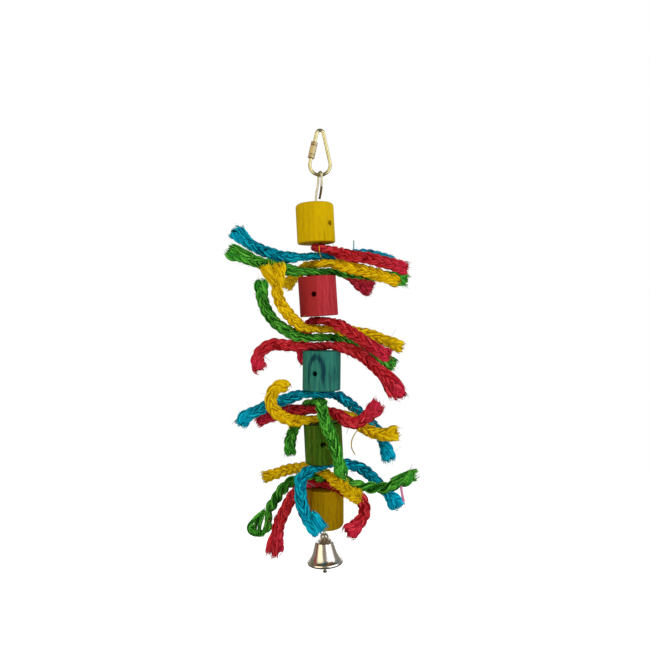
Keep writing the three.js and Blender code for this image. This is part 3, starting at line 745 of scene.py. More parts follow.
# The radius at a fibre's base, the radius at its tip, and its mean tone.
LYING_LOOK = (0.00015, 0.00007, 0.58)
BRUSH_LOOK = (0.00024, 0.00016, 0.55)
HAIR_LOOK = (0.00013, 0.00006, 0.62)
WISP_LOOK = (0.00024, 0.00008, 0.5)
THICKNESS_RANGE = (0.7, 1.3)
TONE_SPREAD = 0.28


def standing_hairs(rng, rope, strand, count, shortest, longest):
    """Hairs that leave a strand and bend as they go."""
    share = np.linspace(0, 1, FIBRE_POINTS)[None, :, None]
    clear = rng.uniform(0, rope["length"], count)
    clear = clear[np.abs(clear - rope["crossing"]) > HAIR_CLEAR_OF_WIRE]
    count = len(clear)
    angle = rng.uniform(0, 2 * math.pi, count)
    base = on_strand(rope, strand, clear, angle, np.full(count, HAIR_ROOT))
    outward = unit(base - read_line(strand["line"], rope["along"], clear))
    forward = read_line(strand["tangent"], rope["along"], clear) * rng.choice([-1, 1], (count, 1))
    outward = outward * rng.uniform(*HAIR_OUTWARD, (count, 1))
    way = unit(outward + forward * rng.uniform(*HAIR_FORWARD, (count, 1)))
    bend = rng.normal(0, HAIR_BEND, (count, 3))
    size = (shortest + (longest - shortest) * rng.uniform(0, 1, count) ** 2)[:, None, None]
    return base[:, None] + size * (share * way[:, None] + share**2 * bend[:, None])


def fibre_groups(rng, rope, strands):
    """All loose fibres of a rope as rings, with a tone for each of their points."""
    groups, tones = [], []
    for strand in strands:
        kinds = [
            (lying_fibres(rng, rope, strand, LYING_PER_STRAND), LYING_LOOK),
            (brush_fibres(rng, rope, strand, BRUSH_PER_STRAND), BRUSH_LOOK),
            (standing_hairs(rng, rope, strand, HAIRS_PER_STRAND, *HAIR_LENGTH), HAIR_LOOK),
            (standing_hairs(rng, rope, strand, WISPS_PER_STRAND, *WISP_LENGTH), WISP_LOOK),
        ]
        for lines, (base, tip, tone) in kinds:
            thick = rng.uniform(*THICKNESS_RANGE, len(lines))
            groups.append(thin_rings(lines, base * thick, tip * thick, FIBRE_SIDES))
            shade = np.clip(rng.normal(tone, TONE_SPREAD, len(lines)), 0, 1)
            tones.append(np.repeat(shade, FIBRE_POINTS * FIBRE_SIDES))
    return groups, np.concatenate(tones)


per_strand = LYING_PER_STRAND + BRUSH_PER_STRAND + HAIRS_PER_STRAND + WISPS_PER_STRAND
print("fibres on a strand:", per_strand)

# %% [markdown]
# ## Dyed sisal
# The dye takes unevenly: single fibres are paler or darker, and whole stretches vary. The creases between
# strands and the grooves between yarns get painted shade, darkened towards the deep colour. A noise
# stretched along the straightened strand gives the fibres, in colour and in bump. Colours are written as
# a screen shows them and turned into the linear values that a shader takes.

# %% Helpers for dyes
MIX_INPUTS = (0, 6, 7)
MIX_OUTPUT = 2
FULL = (0, 1)
MID_NOISE = (0.3, 0.7)


def screen_colour(red, green, blue):
    """A screen colour from 0 to 255, by the standard curve, as the linear one that a shader takes."""
    shares = [value / 255 for value in (red, green, blue)]
    linear = [s / 12.92 if s <= 0.04045 else ((s + 0.055) / 1.055) ** 2.4 for s in shares]
    return (*linear, 1)


def colour_ramp(tree, factor, places, colours):
    """A Color Ramp with a colour at each place."""
    node = add_node(tree, "ShaderNodeValToRGB", Fac=factor)
    elements = node.color_ramp.elements
    while len(elements) < len(places):
        elements.new(0.5)
    for element, place, colour in zip(elements, places, colours):
        element.position = place
        element.color = colour
    return node.outputs["Color"]


def mix_colours(tree, factor, first, second, blend="MIX"):
    """Two colours blended by a factor."""
    node = add_node(tree, "ShaderNodeMix", {"data_type": "RGBA", "blend_type": blend})
    for socket, value in zip(MIX_INPUTS, (factor, first, second)):
        set_input(tree, node.inputs[socket], value)
    return node.outputs[MIX_OUTPUT]


def map_range(tree, value, start, target):
    """A value carried from one range to another."""
    node = add_node(tree, "ShaderNodeMapRange", Value=value)
    for name, number in zip(("From Min", "From Max", "To Min", "To Max"), (*start, *target)):
        node.inputs[name].default_value = number
    return node.outputs["Result"]


def stretched_noise(tree, vector, scale, detail=3, roughness=0.6):
    """A noise whose grain is a different size along each axis."""
    spread = add_node(tree, "ShaderNodeMapping", Vector=vector, Scale=scale)
    noise = add_node(tree, "ShaderNodeTexNoise", Vector=spread.outputs[0], Scale=1, Detail=detail,
                     Roughness=roughness)
    return noise.outputs["Fac"]


def stored(tree, name, output="Fac"):
    """What a piece keeps at its points under a name."""
    return add_node(tree, "ShaderNodeAttribute", {"attribute_name": name}).outputs[output]


print("half grey on a screen is", screen_colour(128, 128, 128), "in a shader")

# %% Dyed sisal
FIBRE_GRAIN = (110, 1600, 1600)
YARN_GRAIN = (45, 680, 680)
SISAL_PATCHES = (75, 75, 75)
GRAIN_SHARE = 0.5
TONE_SHIFT = (-0.24, 0.24)
DYE_PLACES = (0.42, 0.50, 0.60)
TIP_TINT = (0, 0.6)
PAINTED_CREASE_SHADE_RANGE = (0, 0.6)
SISAL_LEVEL = (0.84, 1.12)
SISAL_ROUGHNESS = (0.5, 0.78)
SISAL_SHINE = 0.03
SISAL_BUMP = {"Strength": 0.7, "Distance": 0.0004}


def dyed_sisal(name, deep, body, bright, tip):
    """Streaked dye, bright on single fibres, with its own colour at cut tips and painted shade in the
    creases.
    """
    material = bpy.data.materials.new(name)
    tree = new_tree(material)
    straight = stored(tree, "fibre", "Vector")
    fibres = stretched_noise(tree, straight, FIBRE_GRAIN)
    yarns = stretched_noise(tree, straight, YARN_GRAIN, detail=2)
    tone = map_range(tree, stored(tree, "tone"), FULL, TONE_SHIFT)
    blend = work_out(tree, "MULTIPLY_ADD", yarns, GRAIN_SHARE, tone)
    total = work_out(tree, "MULTIPLY_ADD", fibres, GRAIN_SHARE, blend)
    colour = colour_ramp(tree, total, DYE_PLACES, (deep, body, bright))
    tipped = mix_colours(tree, map_range(tree, stored(tree, "end"), FULL, TIP_TINT), colour, tip)
    place = add_node(tree, "ShaderNodeTexCoord").outputs["Object"]
    patches = stretched_noise(tree, place, SISAL_PATCHES, detail=2)
    level = map_range(tree, patches, MID_NOISE, SISAL_LEVEL)
    patched = add_node(tree, "ShaderNodeHueSaturation", Color=tipped, Value=level)
    # Painted shade: creases and yarn grooves are multiplied towards the deep colour.
    crease = map_range(tree, stored(tree, "crease"), FULL, PAINTED_CREASE_SHADE_RANGE)
    shaded = mix_colours(tree, crease, patched.outputs[0], deep, "MULTIPLY")
    bump = add_node(tree, "ShaderNodeBump", Height=total, **SISAL_BUMP)
    shader = add_node(
        tree, "ShaderNodeBsdfPrincipled", Base_Color=shaded, Normal=bump.outputs[0],
        Roughness=map_range(tree, fibres, MID_NOISE, SISAL_ROUGHNESS), Specular_IOR_Level=SISAL_SHINE)
    add_node(tree, "ShaderNodeOutputMaterial", Surface=shader.outputs[0])
    return material


# The deep, body, bright and tip colours of each dye. The deep colour also darkens the creases as painted
# shade.
SISAL_DYES = {
    "red": ((112, 8, 16), (196, 28, 38), (234, 78, 88), (222, 44, 86)),
    "blue": ((0, 44, 58), (0, 136, 174), (24, 228, 255), (6, 194, 240)),
    "yellow": ((148, 104, 0), (240, 196, 0), (248, 222, 34), (236, 200, 4)),
    "green": ((14, 62, 14), (45, 128, 36), (128, 238, 86), (58, 172, 56)),
    "pink": ((178, 90, 132), (222, 140, 184), (240, 184, 214), (228, 150, 192)),
}
SISAL = {
    dye: dyed_sisal("sisal_" + dye + "_dye", *(screen_colour(*colour) for colour in colours))
    for dye, colours in SISAL_DYES.items()
}
print("dyes:", list(SISAL))

# %% [markdown]
# ## Yarns that left their rope
# Some ends have come apart. A yellow rope opens into two tufts, a red one fans out behind, the green
# one ends in a bight of single yarns, and a few single fibres stand off. Each of them is one
# more strand on a short route of its own, with a width at its base and at its tip, and it is built
# like the strands in a plait. Routes are measured from the place where the wire goes through a rope,
# and these small sizes are in millimetres, which are easier to read.

# %% Yarns that left their rope
MILLIMETRE = 0.001
YARN_FLATNESS = 0.8
LOOSE_YARNS = {
    "rope_1_red": [
        (4.0, 5.0, [(24.5, 34, -17), (31.5, 36, -19), (37.5, 37, -21), (44, 37, -23.5)]),
        (5.5, 5.0, [(14, 27, -13.5), (21.5, 32, -17), (29, 35, -21), (36.5, 37, -24.5)]),
    ],
    "rope_1_blue": [
        (4.2, 5.5, [(-46.5, 7, 9.5), (-50.5, 6.5, 14.5), (-54, 6.5, 19), (-55, 6.5, 21)]),
        (0.8, 0.6, [(26.5, 11, 4), (26, 10.5, 5.5), (26, 10, 7)]),
    ],
    "rope_1_yellow": [
        (0.22, 0.18, [(2.5, -14, 4), (1.5, -17.5, 7), (1.5, -17.5, 9.5)]),
    ],
    "rope_1_green": [
        (4.2, 4.8, [(-45, -7, 10.5), (-51, -8, 13.5), (-56, -8, 16), (-59.5, -8, 17)]),
    ],
    "rope_2_yellow": [
        (5.0, 8.4, [(-28.5, -23.5, 28), (-31, -25, 33.5), (-34, -26, 38), (-36, -26, 43)]),
    ],
    "rope_2_red_lower": [
        (4.0, 4.6, [(45, -10, -16.5), (50, -10, -20.5), (54.5, -10, -25.5), (57, -10, -30.5)]),
        (4.0, 4.6, [(40.5, -12, -18.5), (44.5, -12, -24.5), (47, -12, -30), (50, -12, -34.5)]),
    ],
    "rope_3_yellow": [
        (0.6, 0.4, [(26, -2, -7), (23, -4, -10.5), (21, -5, -15),
                    (21, -5, -20), (23, -4, -24)]),
    ],
    "rope_4_blue": [
        (4.5, 6.0, [(-8, -27.5, -25.5), (-5, -28.5, -30.5), (-2.5, -28, -35), (-1.5, -27, -38.5)]),
        (3.6, 4.6, [(-6, -27.5, -24.5), (-2.5, -28, -29), (-0.5, -27.5, -32.5), (1.5, -27, -35.5)]),
    ],
    "rope_4_green": [
        (3.0, 3.0, [(-41, 10, -25.5), (-44.5, 10, -28), (-49.5, 10, -32.5),
                    (-53, 10, -37.5), (-52, 10, -41), (-47, 10, -43.5)]),
        (2.6, 2.6, [(-41.5, 12, -27.5), (-45.5, 13, -31.5), (-48.5, 13, -37),
                    (-48.5, 12, -41.5), (-45, 11, -43.5)]),
        (2.6, 2.6, [(-41, 8.5, -25), (-43, 8, -29), (-45, 8, -35.5), (-45.5, 9, -42.5)]),
        (2.4, 2.2, [(-38.5, 8.5, -25.5), (-40, 8, -30.5), (-41, 8, -36), (-43, 9, -43)]),
        (5.0, 3.6, [(46, -4, -5), (52.5, -5, -2.5), (59, -5, 2), (64, -4, 5)]),
        (4.0, 2.8, [(47.5, -3, -1.5), (54, -4, 2), (60.5, -4, 4.5), (65.5, -3, 6)]),
    ],
    "rope_4_red": [
        (4.0, 4.6, [(-33.5, -8, -32.5), (-36, -8.5, -37), (-37, -8.5, -42), (-37.5, -8, -46)]),
        (4.0, 4.6, [(-32, -9, -36), (-32.5, -10, -41.5), (-33, -10, -46), (-33, -10, -48)]),
    ],
}


def loose_yarn(rng, base, tip, points):
    """One strand of a given width along its own route."""
    yarn = rope_line(rng, [Vector(p) * MILLIMETRE for p in points])
    ends = [base * MILLIMETRE / 2, tip * MILLIMETRE / 2]
    width = np.interp(yarn["along"], [0, yarn["length"]], ends)
    strand = {"line": yarn["middle"], "tangent": yarn["tangent"], "across": yarn["side"],
              "up": yarn["face"], "wide": width, "thick": width * YARN_FLATNESS}
    return yarn, strand


print("loose yarns:", sum(len(yarns) for yarns in LOOSE_YARNS.values()))

# %% [markdown]
# ## The sixteen ropes
# Each rope gets its own random numbers, so no two are alike, and the same ones on every run. It rides on
# its solid's body and takes the solid's place. The photograph shows the ropes from end to end, and both
# ends are simply cut.

# %% A piece from finished strands
STRANDS_APART = 0.02
MIDDLE_TONE = 0.5
LYING_PER_YARN = 24
BRUSH_PER_YARN = 50
YARN_FIBRE_RADII = (0.0002, 0.0001)
YARN_TONES = (0.2, 0.9)


def strand_piece(name, made, crease, tip_tint, lay):
    """One piece from finished strands, with what the dye reads at their points."""
    rings, straight, ends, _ = zip(*made)
    piece = tubes_piece(name, [lay(ring) for ring in rings])
    apart = [spots + [0, STRANDS_APART * i, 0] for i, spots in enumerate(straight)]
    keep_at_points(piece, "fibre", np.vstack(apart))
    # The shade painted into creases and grooves is kept at the points.
    keep_at_points(piece, "crease", np.concatenate(crease))
    keep_at_points(piece, "end", tip_tint * np.concatenate(ends))
    keep_at_points(piece, "tone", np.full(len(piece.data.vertices), MIDDLE_TONE))
    return piece


def yarn_fibres(rng, yarn, strand):
    """The fibres of one loose yarn as rings, with a tone for each of their points."""
    lying = lying_fibres(rng, yarn, strand, LYING_PER_YARN)
    lines = np.vstack([lying, brush_fibres(rng, yarn, strand, BRUSH_PER_YARN)])
    base, tip = (np.full(len(lines), radius) for radius in YARN_FIBRE_RADII)
    shade = rng.uniform(*YARN_TONES, len(lines))
    return thin_rings(lines, base, tip, FIBRE_SIDES), np.repeat(shade, FIBRE_POINTS * FIBRE_SIDES)


print("fibres on a loose yarn:", LYING_PER_YARN + BRUSH_PER_YARN)

# %% The sixteen ropes
PRESSED_HEIGHT = {"1": 0.00545, "2": 0.00565, "3": 0.00535, "4": 0.004075}
PATH_POINTS = 36
ROPE_TIP_TINT = 1
YARN_TIP_TINT = 0.25


def rope_pieces(node, points):
    """Makes one rope: its strands, the yarns that left it, and its loose fibres."""
    _, tier, dye = node.split("_")[:3]
    rng = np.random.default_rng(sum(map(ord, node)))
    rope = rope_line(rng, points)
    strands = strand_lines(rng, rope, END_SPREAD[node], node in TWISTED_ROPES)
    place = np.array(joint_place[node + "_turn"])

    def lay(spots):
        return rest_on_blocks(press(spots, PRESSED_HEIGHT[tier]) + place, int(tier))

    made = [strand_rings(rng, rope, strand) for strand in strands]
    # Painted shade: a strand's yarn grooves and its creases against the other strands.
    crease = [
        np.maximum(groove, crease_shade_mask(rings, [s["line"] for j, s in enumerate(strands) if j != i]))
        for i, (rings, _, _, groove) in enumerate(made)
    ]
    rope_name = node.replace("rope", "twist" if node in TWISTED_ROPES else "plait")
    cord = strand_piece(rope_name, made, crease, ROPE_TIP_TINT, lay)
    groups, tones = fibre_groups(rng, rope, strands)
    extras = []
    if node in LOOSE_YARNS:
        loose = [loose_yarn(rng, *entry) for entry in LOOSE_YARNS[node]]
        made = [strand_rings(rng, *pair) for pair in loose]
        # Painted shade in the loose yarns' grooves.
        groove_shades = [groove for _, _, _, groove in made]
        extras.append(strand_piece(rope_name + "_yarns", made, groove_shades, YARN_TIP_TINT, lay))
        for yarn, strand in loose:
            rings, shades = yarn_fibres(rng, yarn, strand)
            groups.append(rings)
            tones = np.append(tones, shades)
    fibres = tubes_piece(rope_name + "_fibres", [lay(rings) for rings in groups])
    keep_at_points(fibres, "tone", tones)
    extras.append(fibres)
    for piece in (cord, *extras):
        piece.data.materials.append(SISAL[dye])
        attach(piece, node + "_body")
    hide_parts(node)
    spots = np.linspace(0, rope["length"], PATH_POINTS)
    path = lay(read_line(rope["middle"], rope["along"], spots))
    tuple(path[0])
    [tuple(p) for p in path]
    return cord, fibres


for node, points in ROPE_ROUTES.items():
    cord, fibres = rope_pieces(node, points)
    print(cord.name, "faces", len(cord.data.polygons), "fibres' faces", len(fibres.data.polygons))

# %% [markdown]
# ## A stray pink fibre
# A flat bundle of pale pink fibres has caught on the low green rope and hangs from its right arm.
# It is a yarn like the others, but in another rope's dye, so it is a piece of its own.

# %% A stray pink fibre
STRAY = (1.8, 1.6, [(54, -4, -1.5), (54.5, -3.5, -7), (55.5, -2, -12), (57, 0, -17.5)])
STRAY_SEED = 5
rng = np.random.default_rng(STRAY_SEED)
made = [strand_rings(rng, *loose_yarn(rng, *STRAY))]
no_crease = [np.zeros(len(made[0][1]))]
snag_place = np.array(joint_place["rope_4_green_turn"])
snag = strand_piece("stray_pink_fibre", made, no_crease, ROPE_TIP_TINT, lambda spots: spots + snag_place)
snag.data.materials.append(SISAL["pink"])
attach(snag, "rope_4_green_body")
print(snag.name, "faces", len(snag.data.polygons))

# %% [markdown]
# ## The wooden blocks
# Each block is a turned cylinder with a bore for the wire and a small blind hole in its side. A
# cylinder is the natural start: its ends are inset and bridged to open the bore, its edges are
# rounded, rings are cut across it so that it has points enough to hold a stain, and the side hole is
# drilled with a Boolean. The camera sees how differently the edges are worn, so every block has its
# own rounding.

# %% Helpers for shaping by hand
MERGE_DISTANCE = 1e-6
SELECT_MODES = {"edges": "EDGE", "polygons": "FACE"}


def begin_edit(piece):
    """Selects a piece and enters edit mode."""
    bpy.context.view_layer.objects.active = piece
    piece.select_set(True)
    bpy.ops.object.mode_set(mode="EDIT")
    bpy.ops.mesh.select_mode(type="VERT")


def pick(piece, wanted, kind):
    """Selects the edges or faces for which wanted(item) holds, and nothing else."""
    bpy.ops.mesh.select_all(action="DESELECT")
    bpy.ops.mesh.select_mode(type=SELECT_MODES[kind])
    bpy.ops.object.mode_set(mode="OBJECT")
    for item in getattr(piece.data, kind):
        item.select = bool(wanted(item))
    bpy.ops.object.mode_set(mode="EDIT")


def end_edit():
    """Merges doubles, turns the faces outwards and leaves edit mode with nothing selected."""
    bpy.ops.mesh.select_all(action="SELECT")
    bpy.ops.mesh.remove_doubles(threshold=MERGE_DISTANCE)
    bpy.ops.mesh.normals_make_consistent(inside=False)
    bpy.ops.object.mode_set(mode="OBJECT")
    bpy.ops.object.select_all(action="DESELECT")


def settle(piece, angle):
    """Puts a piece's place and turn into its mesh and smooths its round faces."""
    bpy.ops.object.select_all(action="DESELECT")
    bpy.context.view_layer.objects.active = piece
    piece.select_set(True)
    bpy.ops.object.transform_apply(location=True, rotation=True, scale=True)
    bpy.ops.object.shade_smooth_by_angle(angle=math.radians(angle))
    bpy.ops.object.select_all(action="DESELECT")


def cut_with(piece, operation, tool):
    """Cuts a piece with another one, which is then thrown away."""
    bpy.context.view_layer.objects.active = piece
    modifier = piece.modifiers.new("cut", "BOOLEAN")
    modifier.operation = operation
    modifier.object = tool
    modifier.solver = "EXACT"
    bpy.ops.object.modifier_apply(modifier=modifier.name)
    bpy.data.objects.remove(tool, do_unlink=True)


def join_to(piece, other):
    """Makes another piece part of a piece."""
    other.select_set(True)
    piece.select_set(True)
    bpy.context.view_layer.objects.active = piece
    bpy.ops.object.join()


print("helpers for shaping are ready")

# %% Turning a block
BORE_RADIUS = 0.0027
SIDE_HOLE_RADIUS = 0.0019
SIDE_HOLE_DEPTH = 0.0075
BLOCK_SIDES = 112
BLOCK_RINGS = 26
EDGE_SEGMENTS = 5
DRILL_SIDES = 40
SAME_PLACE = 1e-5


def level_face(face):
    return abs(face.normal.z) > LEVEL_FACE


def turned_block(name, top_edge, bottom_edge):
    """A block at the origin, with its bore and its rounded edges."""
    bpy.ops.mesh.primitive_cylinder_add(vertices=BLOCK_SIDES, radius=BLOCK_RADIUS, depth=BLOCK_HEIGHT)
    block = bpy.context.object
    block.name = name
    begin_edit(block)
    half = BLOCK_HEIGHT / 2
    pick(block, level_face, "polygons")
    bpy.ops.mesh.inset(thickness=BLOCK_RADIUS - BORE_RADIUS, use_individual=True)
    bpy.ops.mesh.bridge_edge_loops()

    def on_rim(edge, height):
        ends = [block.data.vertices[i].co for i in edge.vertices]
        return all(abs(p.z - height) < SAME_PLACE and p.xy.length > 2 * BORE_RADIUS for p in ends)

    for height, edge in ((half, top_edge), (-half, bottom_edge)):
        pick(block, lambda item: on_rim(item, height), "edges")
        bpy.ops.mesh.bevel(offset=edge, segments=EDGE_SEGMENTS, affect="EDGES")
    for height in np.linspace(bottom_edge - half, half - top_edge, BLOCK_RINGS + 2)[1:-1]:
        bpy.ops.mesh.select_all(action="SELECT")
        bpy.ops.mesh.bisect(plane_co=(0, 0, height), plane_no=(0, 0, 1))
    end_edit()
    return block


def drill(block, turn, height):
    """A blind hole in the block's side, turned about its axis from the front."""
    way = Vector((math.sin(turn), -math.cos(turn), 0))
    mouth = way * BLOCK_RADIUS + Vector((0, 0, height))
    bpy.ops.mesh.primitive_cylinder_add(
        vertices=DRILL_SIDES, radius=SIDE_HOLE_RADIUS, depth=2 * SIDE_HOLE_DEPTH, location=mouth,
        rotation=way.to_track_quat("Z", "Y").to_euler())
    cut_with(block, "DIFFERENCE", bpy.context.object)


print("rings cut across a block:", BLOCK_RINGS)

# %% [markdown]
# ## Dyed wood
# The dye is thin, so the grain shows through: long streaks, darker growth bands, fine pores, and dark
# ends where the wood drank more. Noise stretched along the block's axis gives the streaks, and wide rings
# round a far centre give the bands, as in wood sawn from a branch. A Mapping node follows each block's
# place and lean. Where a block shows a stain, a change of colour or a shadow in the photograph, it is
# stored at its points by a plain formula, and the noise breaks up its edge. The shadow on the low yellow
# block's left is painted shade.

# %% Dyed wood
STREAK_GRAIN = (700, 700, 42)
PORE_GRAIN = (2600, 2600, 170)
WOOD_PATCHES = (110, 110, 60)
BAND_CENTRE = (0.021, 0.013, 0)
BAND_FORM = {"Scale": 95, "Distortion": 5, "Detail": 3, "Detail_Scale": 2}
BAND_SHARE = 0.2
STREAK_RANGE = (0.25, 0.75)
STREAK_SHARE = (0, 0.8)
WOOD_PLACES = (0.15, 0.45, 0.85)
STAIN_AND_SHADE_BREAK = (-0.6, 0.6)
STAIN_AND_SHADE_RANGE = (0.25, 0.85)
WOOD_LEVEL = (0.9, 1.08)
END_DEPTH = 0.0003
END_SHADE = (0, 0.55)
PORE_RANGE = (0.34, 0.46)
PORE_SHADE = (0.35, 0)
WOOD_BUMP = {"Strength": 0.22, "Distance": 0.0003}
WOOD_ROUGHNESS = (0.55, 0.8)
WOOD_SHINE = 0.04


def dyed_wood(name, place, lean, dark, body, light, stain):
    """Thin dye on wood, with the grain of a block at this place and lean."""
    material = bpy.data.materials.new(name)
    tree = new_tree(material)
    world_place = add_node(tree, "ShaderNodeTexCoord").outputs["Object"]
    own = add_node(tree, "ShaderNodeMapping", {"vector_type": "TEXTURE"}, Vector=world_place,
                   Location=place, Rotation=(0, lean, 0)).outputs[0]
    streaks = stretched_noise(tree, own, STREAK_GRAIN, detail=4, roughness=0.65)
    pores = stretched_noise(tree, own, PORE_GRAIN, detail=2, roughness=0.5)
    patches = stretched_noise(tree, own, WOOD_PATCHES)
    off_centre = add_node(tree, "ShaderNodeMapping", Vector=own, Location=BAND_CENTRE)
    bands = add_node(tree, "ShaderNodeTexWave", {"wave_type": "RINGS", "rings_direction": "Z"},
                     Vector=off_centre.outputs[0], **BAND_FORM)
    long_grain = map_range(tree, streaks, STREAK_RANGE, STREAK_SHARE)
    grain = work_out(tree, "MULTIPLY_ADD", bands.outputs["Fac"], BAND_SHARE, long_grain)
    colour = colour_ramp(tree, grain, WOOD_PLACES, (dark, body, light))
    # This mask holds real stains, and painted shadow on the low yellow block's left.
    breaks = map_range(tree, streaks, MID_NOISE, STAIN_AND_SHADE_BREAK)
    broken = work_out(tree, "ADD", breaks, stored(tree, "stain"))
    stained_and_shaded = mix_colours(tree, map_range(tree, broken, STAIN_AND_SHADE_RANGE, FULL), colour, stain)
    level = map_range(tree, patches, MID_NOISE, WOOD_LEVEL)
    patched = add_node(tree, "ShaderNodeHueSaturation", Color=stained_and_shaded, Value=level)
    height = add_node(tree, "ShaderNodeSeparateXYZ", Vector=own).outputs["Z"]
    end_range = (BLOCK_HEIGHT / 2 - END_DEPTH, BLOCK_HEIGHT / 2)
    ends = map_range(tree, work_out(tree, "ABSOLUTE", height), end_range, END_SHADE)
    capped = mix_colours(tree, ends, patched.outputs[0], dark, "MULTIPLY")
    pitted = mix_colours(tree, map_range(tree, pores, PORE_RANGE, PORE_SHADE), capped, dark)
    relief = work_out(tree, "ADD", streaks, pores)
    bump = add_node(tree, "ShaderNodeBump", Height=relief, **WOOD_BUMP)
    shader = add_node(
        tree, "ShaderNodeBsdfPrincipled", Base_Color=pitted, Normal=bump.outputs[0],
        Roughness=map_range(tree, streaks, MID_NOISE, WOOD_ROUGHNESS), Specular_IOR_Level=WOOD_SHINE)
    add_node(tree, "ShaderNodeOutputMaterial", Surface=shader.outputs[0])
    return material


print("streaks are", round(STREAK_GRAIN[0] / STREAK_GRAIN[2]), "times as long as they are wide")

# %% Stains, and painted shade, that the blocks show
# Angles are in radians from the front, to the right, and heights are from a block's middle.
LEFT_HALF_EDGE = (-0.1, 0.06)
LEFT_HALF_STRENGTH = 0.9
FLAME_MIDDLE = -0.30
FLAME_HALF_WIDTH = 0.40
FLAME_SPRING = -0.001
FLAME_RISE = 0.0108
FLAME_RIGHT = (-0.4, 0.5)
FLAME_SOFTNESS = (0.24, 0.32)
FLAME_STRENGTH = (0.9, 1)
FLAME_FEET = (-0.013, -0.003)
FEET_STRENGTH = (0.45, 1)
BLUE_SHADE_SIDE = (0.25, 0.5)
BLUE_SHADE_MIDDLE = -0.002
BLUE_SHADE_FADE = (0.003, 0.009)
BLUE_SHADE_STRENGTH = 0.3
BROWN_SIDE = (-1.1, -0.5)
BROWN_STREAKS = 3.1
BROWN_START = 0.6
BROWN_STRENGTH = 0.45
SHADED_SIDE = (-0.9, -0.2)
SHADED_STRENGTH = 0.8


def between(share, low, high):
    return low + (high - low) * share


def no_stain(angle, height):
    return np.zeros_like(angle)


def darker_left_half(angle, height):
    """The left half of the red block is darker, up to a soft edge near its middle."""
    return LEFT_HALF_STRENGTH * (1 - ease(angle, *LEFT_HALF_EDGE))


def flame_stain(angle, height):
    """A dark arch round the blue block's hole, fainter towards its feet, and a shade on the right."""
    across = (angle - FLAME_MIDDLE) / FLAME_HALF_WIDTH
    edge = np.hypot(across, np.maximum(height - FLAME_SPRING, 0) / FLAME_RISE)
    right = ease(across, *FLAME_RIGHT)
    arch = np.exp(-(((edge - 1) / between(right, *FLAME_SOFTNESS)) ** 2))
    strength = between(right, *FLAME_STRENGTH) * between(ease(height, *FLAME_FEET), *FEET_STRENGTH)
    middle = 1 - ease(np.abs(height - BLUE_SHADE_MIDDLE), *BLUE_SHADE_FADE)
    shade = BLUE_SHADE_STRENGTH * ease(angle, *BLUE_SHADE_SIDE) * middle
    return arch * strength + shade


def brown_streaks(angle, height):
    """Brownish streaks in the green block."""
    waves = np.sin(angle * BROWN_STREAKS + BROWN_START) ** 2
    return BROWN_STRENGTH * waves * ease(angle, *BROWN_SIDE)


def shaded_side(angle, height):
    """Painted shadow: the left of the low yellow block is darker, where the blue rope and the block
    itself shade it.
    """
    return SHADED_STRENGTH * (1 - ease(angle, *SHADED_SIDE))


print("the blue block's arch rises to", round(FLAME_SPRING + FLAME_RISE, 4), "above its middle")

# %% The five blocks
BLOCK_SMOOTHING = 35
BLOCKS = {
    "block_1_yellow": dict(
        top=0.0024, bottom=0.0010, turn=50, hole=-0.0013, slot="wood_yellow", stain=no_stain,
        dark=(190, 152, 0), body=(208, 172, 0), light=(218, 186, 2), stained_and_shaded=(150, 120, 4)),
    "block_2_red": dict(
        top=0.0007, bottom=0.0006, turn=-12, hole=0.0012, slot="wood_red", stain=darker_left_half,
        dark=(146, 36, 42), body=(178, 48, 56), light=(196, 66, 74), stained_and_shaded=(170, 46, 48)),
    "block_3_blue": dict(
        top=0.0006, bottom=0.0009, turn=-21, hole=-0.0017, slot="wood_blue", stain=flame_stain,
        dark=(30, 90, 90), body=(44, 122, 110), light=(66, 142, 120), stained_and_shaded=(16, 56, 70)),
    "block_4_green": dict(
        top=0.0008, bottom=0.0010, turn=-1, hole=0.0006, slot="wood_green", stain=brown_streaks,
        dark=(36, 68, 10), body=(58, 96, 18), light=(82, 118, 28), stained_and_shaded=(84, 80, 18)),
    # The low yellow block's darker left is painted shadow.
    "block_5_yellow": dict(
        top=0.0010, bottom=0.0038, turn=150, hole=0, slot="wood_ochre", stain=shaded_side,
        dark=(142, 104, 0), body=(168, 130, 0), light=(186, 150, 0), stained_and_shaded=(118, 76, 0)),
}


def finish_block(node, look):
    """Makes, drills, stains and places one block; on the low yellow block the stain is painted shadow."""
    block = turned_block("turned_" + node, look["top"], look["bottom"])
    drill(block, math.radians(look["turn"]), look["hole"])
    spots = np.array([v.co for v in block.data.vertices])
    angle = np.arctan2(spots[:, 0], -spots[:, 1])
    # Stains, and on the low yellow block painted shadow, are kept at the points.
    keep_at_points(block, "stain", look["stain"](angle, spots[:, 2]))
    axis = joint_axis[node + "_spin"]
    lean = math.atan2(axis.x, axis.z)
    block.location = joint_place[node + "_spin"]
    block.rotation_euler = (0, lean, 0)
    place = tuple(block.location)
    settle(block, BLOCK_SMOOTHING)
    colours = [screen_colour(*look[key]) for key in ("dark", "body", "light", "stained_and_shaded")]
    number = node.split("_")[1]
    block.data.materials.clear()
    block.data.materials.append(dyed_wood(look["slot"] + "_" + number, place, lean, *colours))
    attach(block, node + "_body")
    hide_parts(node)
    return block


for node, look in BLOCKS.items():
    block = finish_block(node, look)
    print(block.name, "faces", len(block.data.polygons))

# %% [markdown]
# ## Plated metal
# The link, the wire and the bell are plated steel: bright, a little uneven in its shine, with faint
# rubbed spots. Nearly all of its look is what it mirrors, so the shader stays simple and only its
# roughness, its tint and a very small bump vary. The wire's cut tail is painted brown: tarnish, and a
# painted dark reflection.

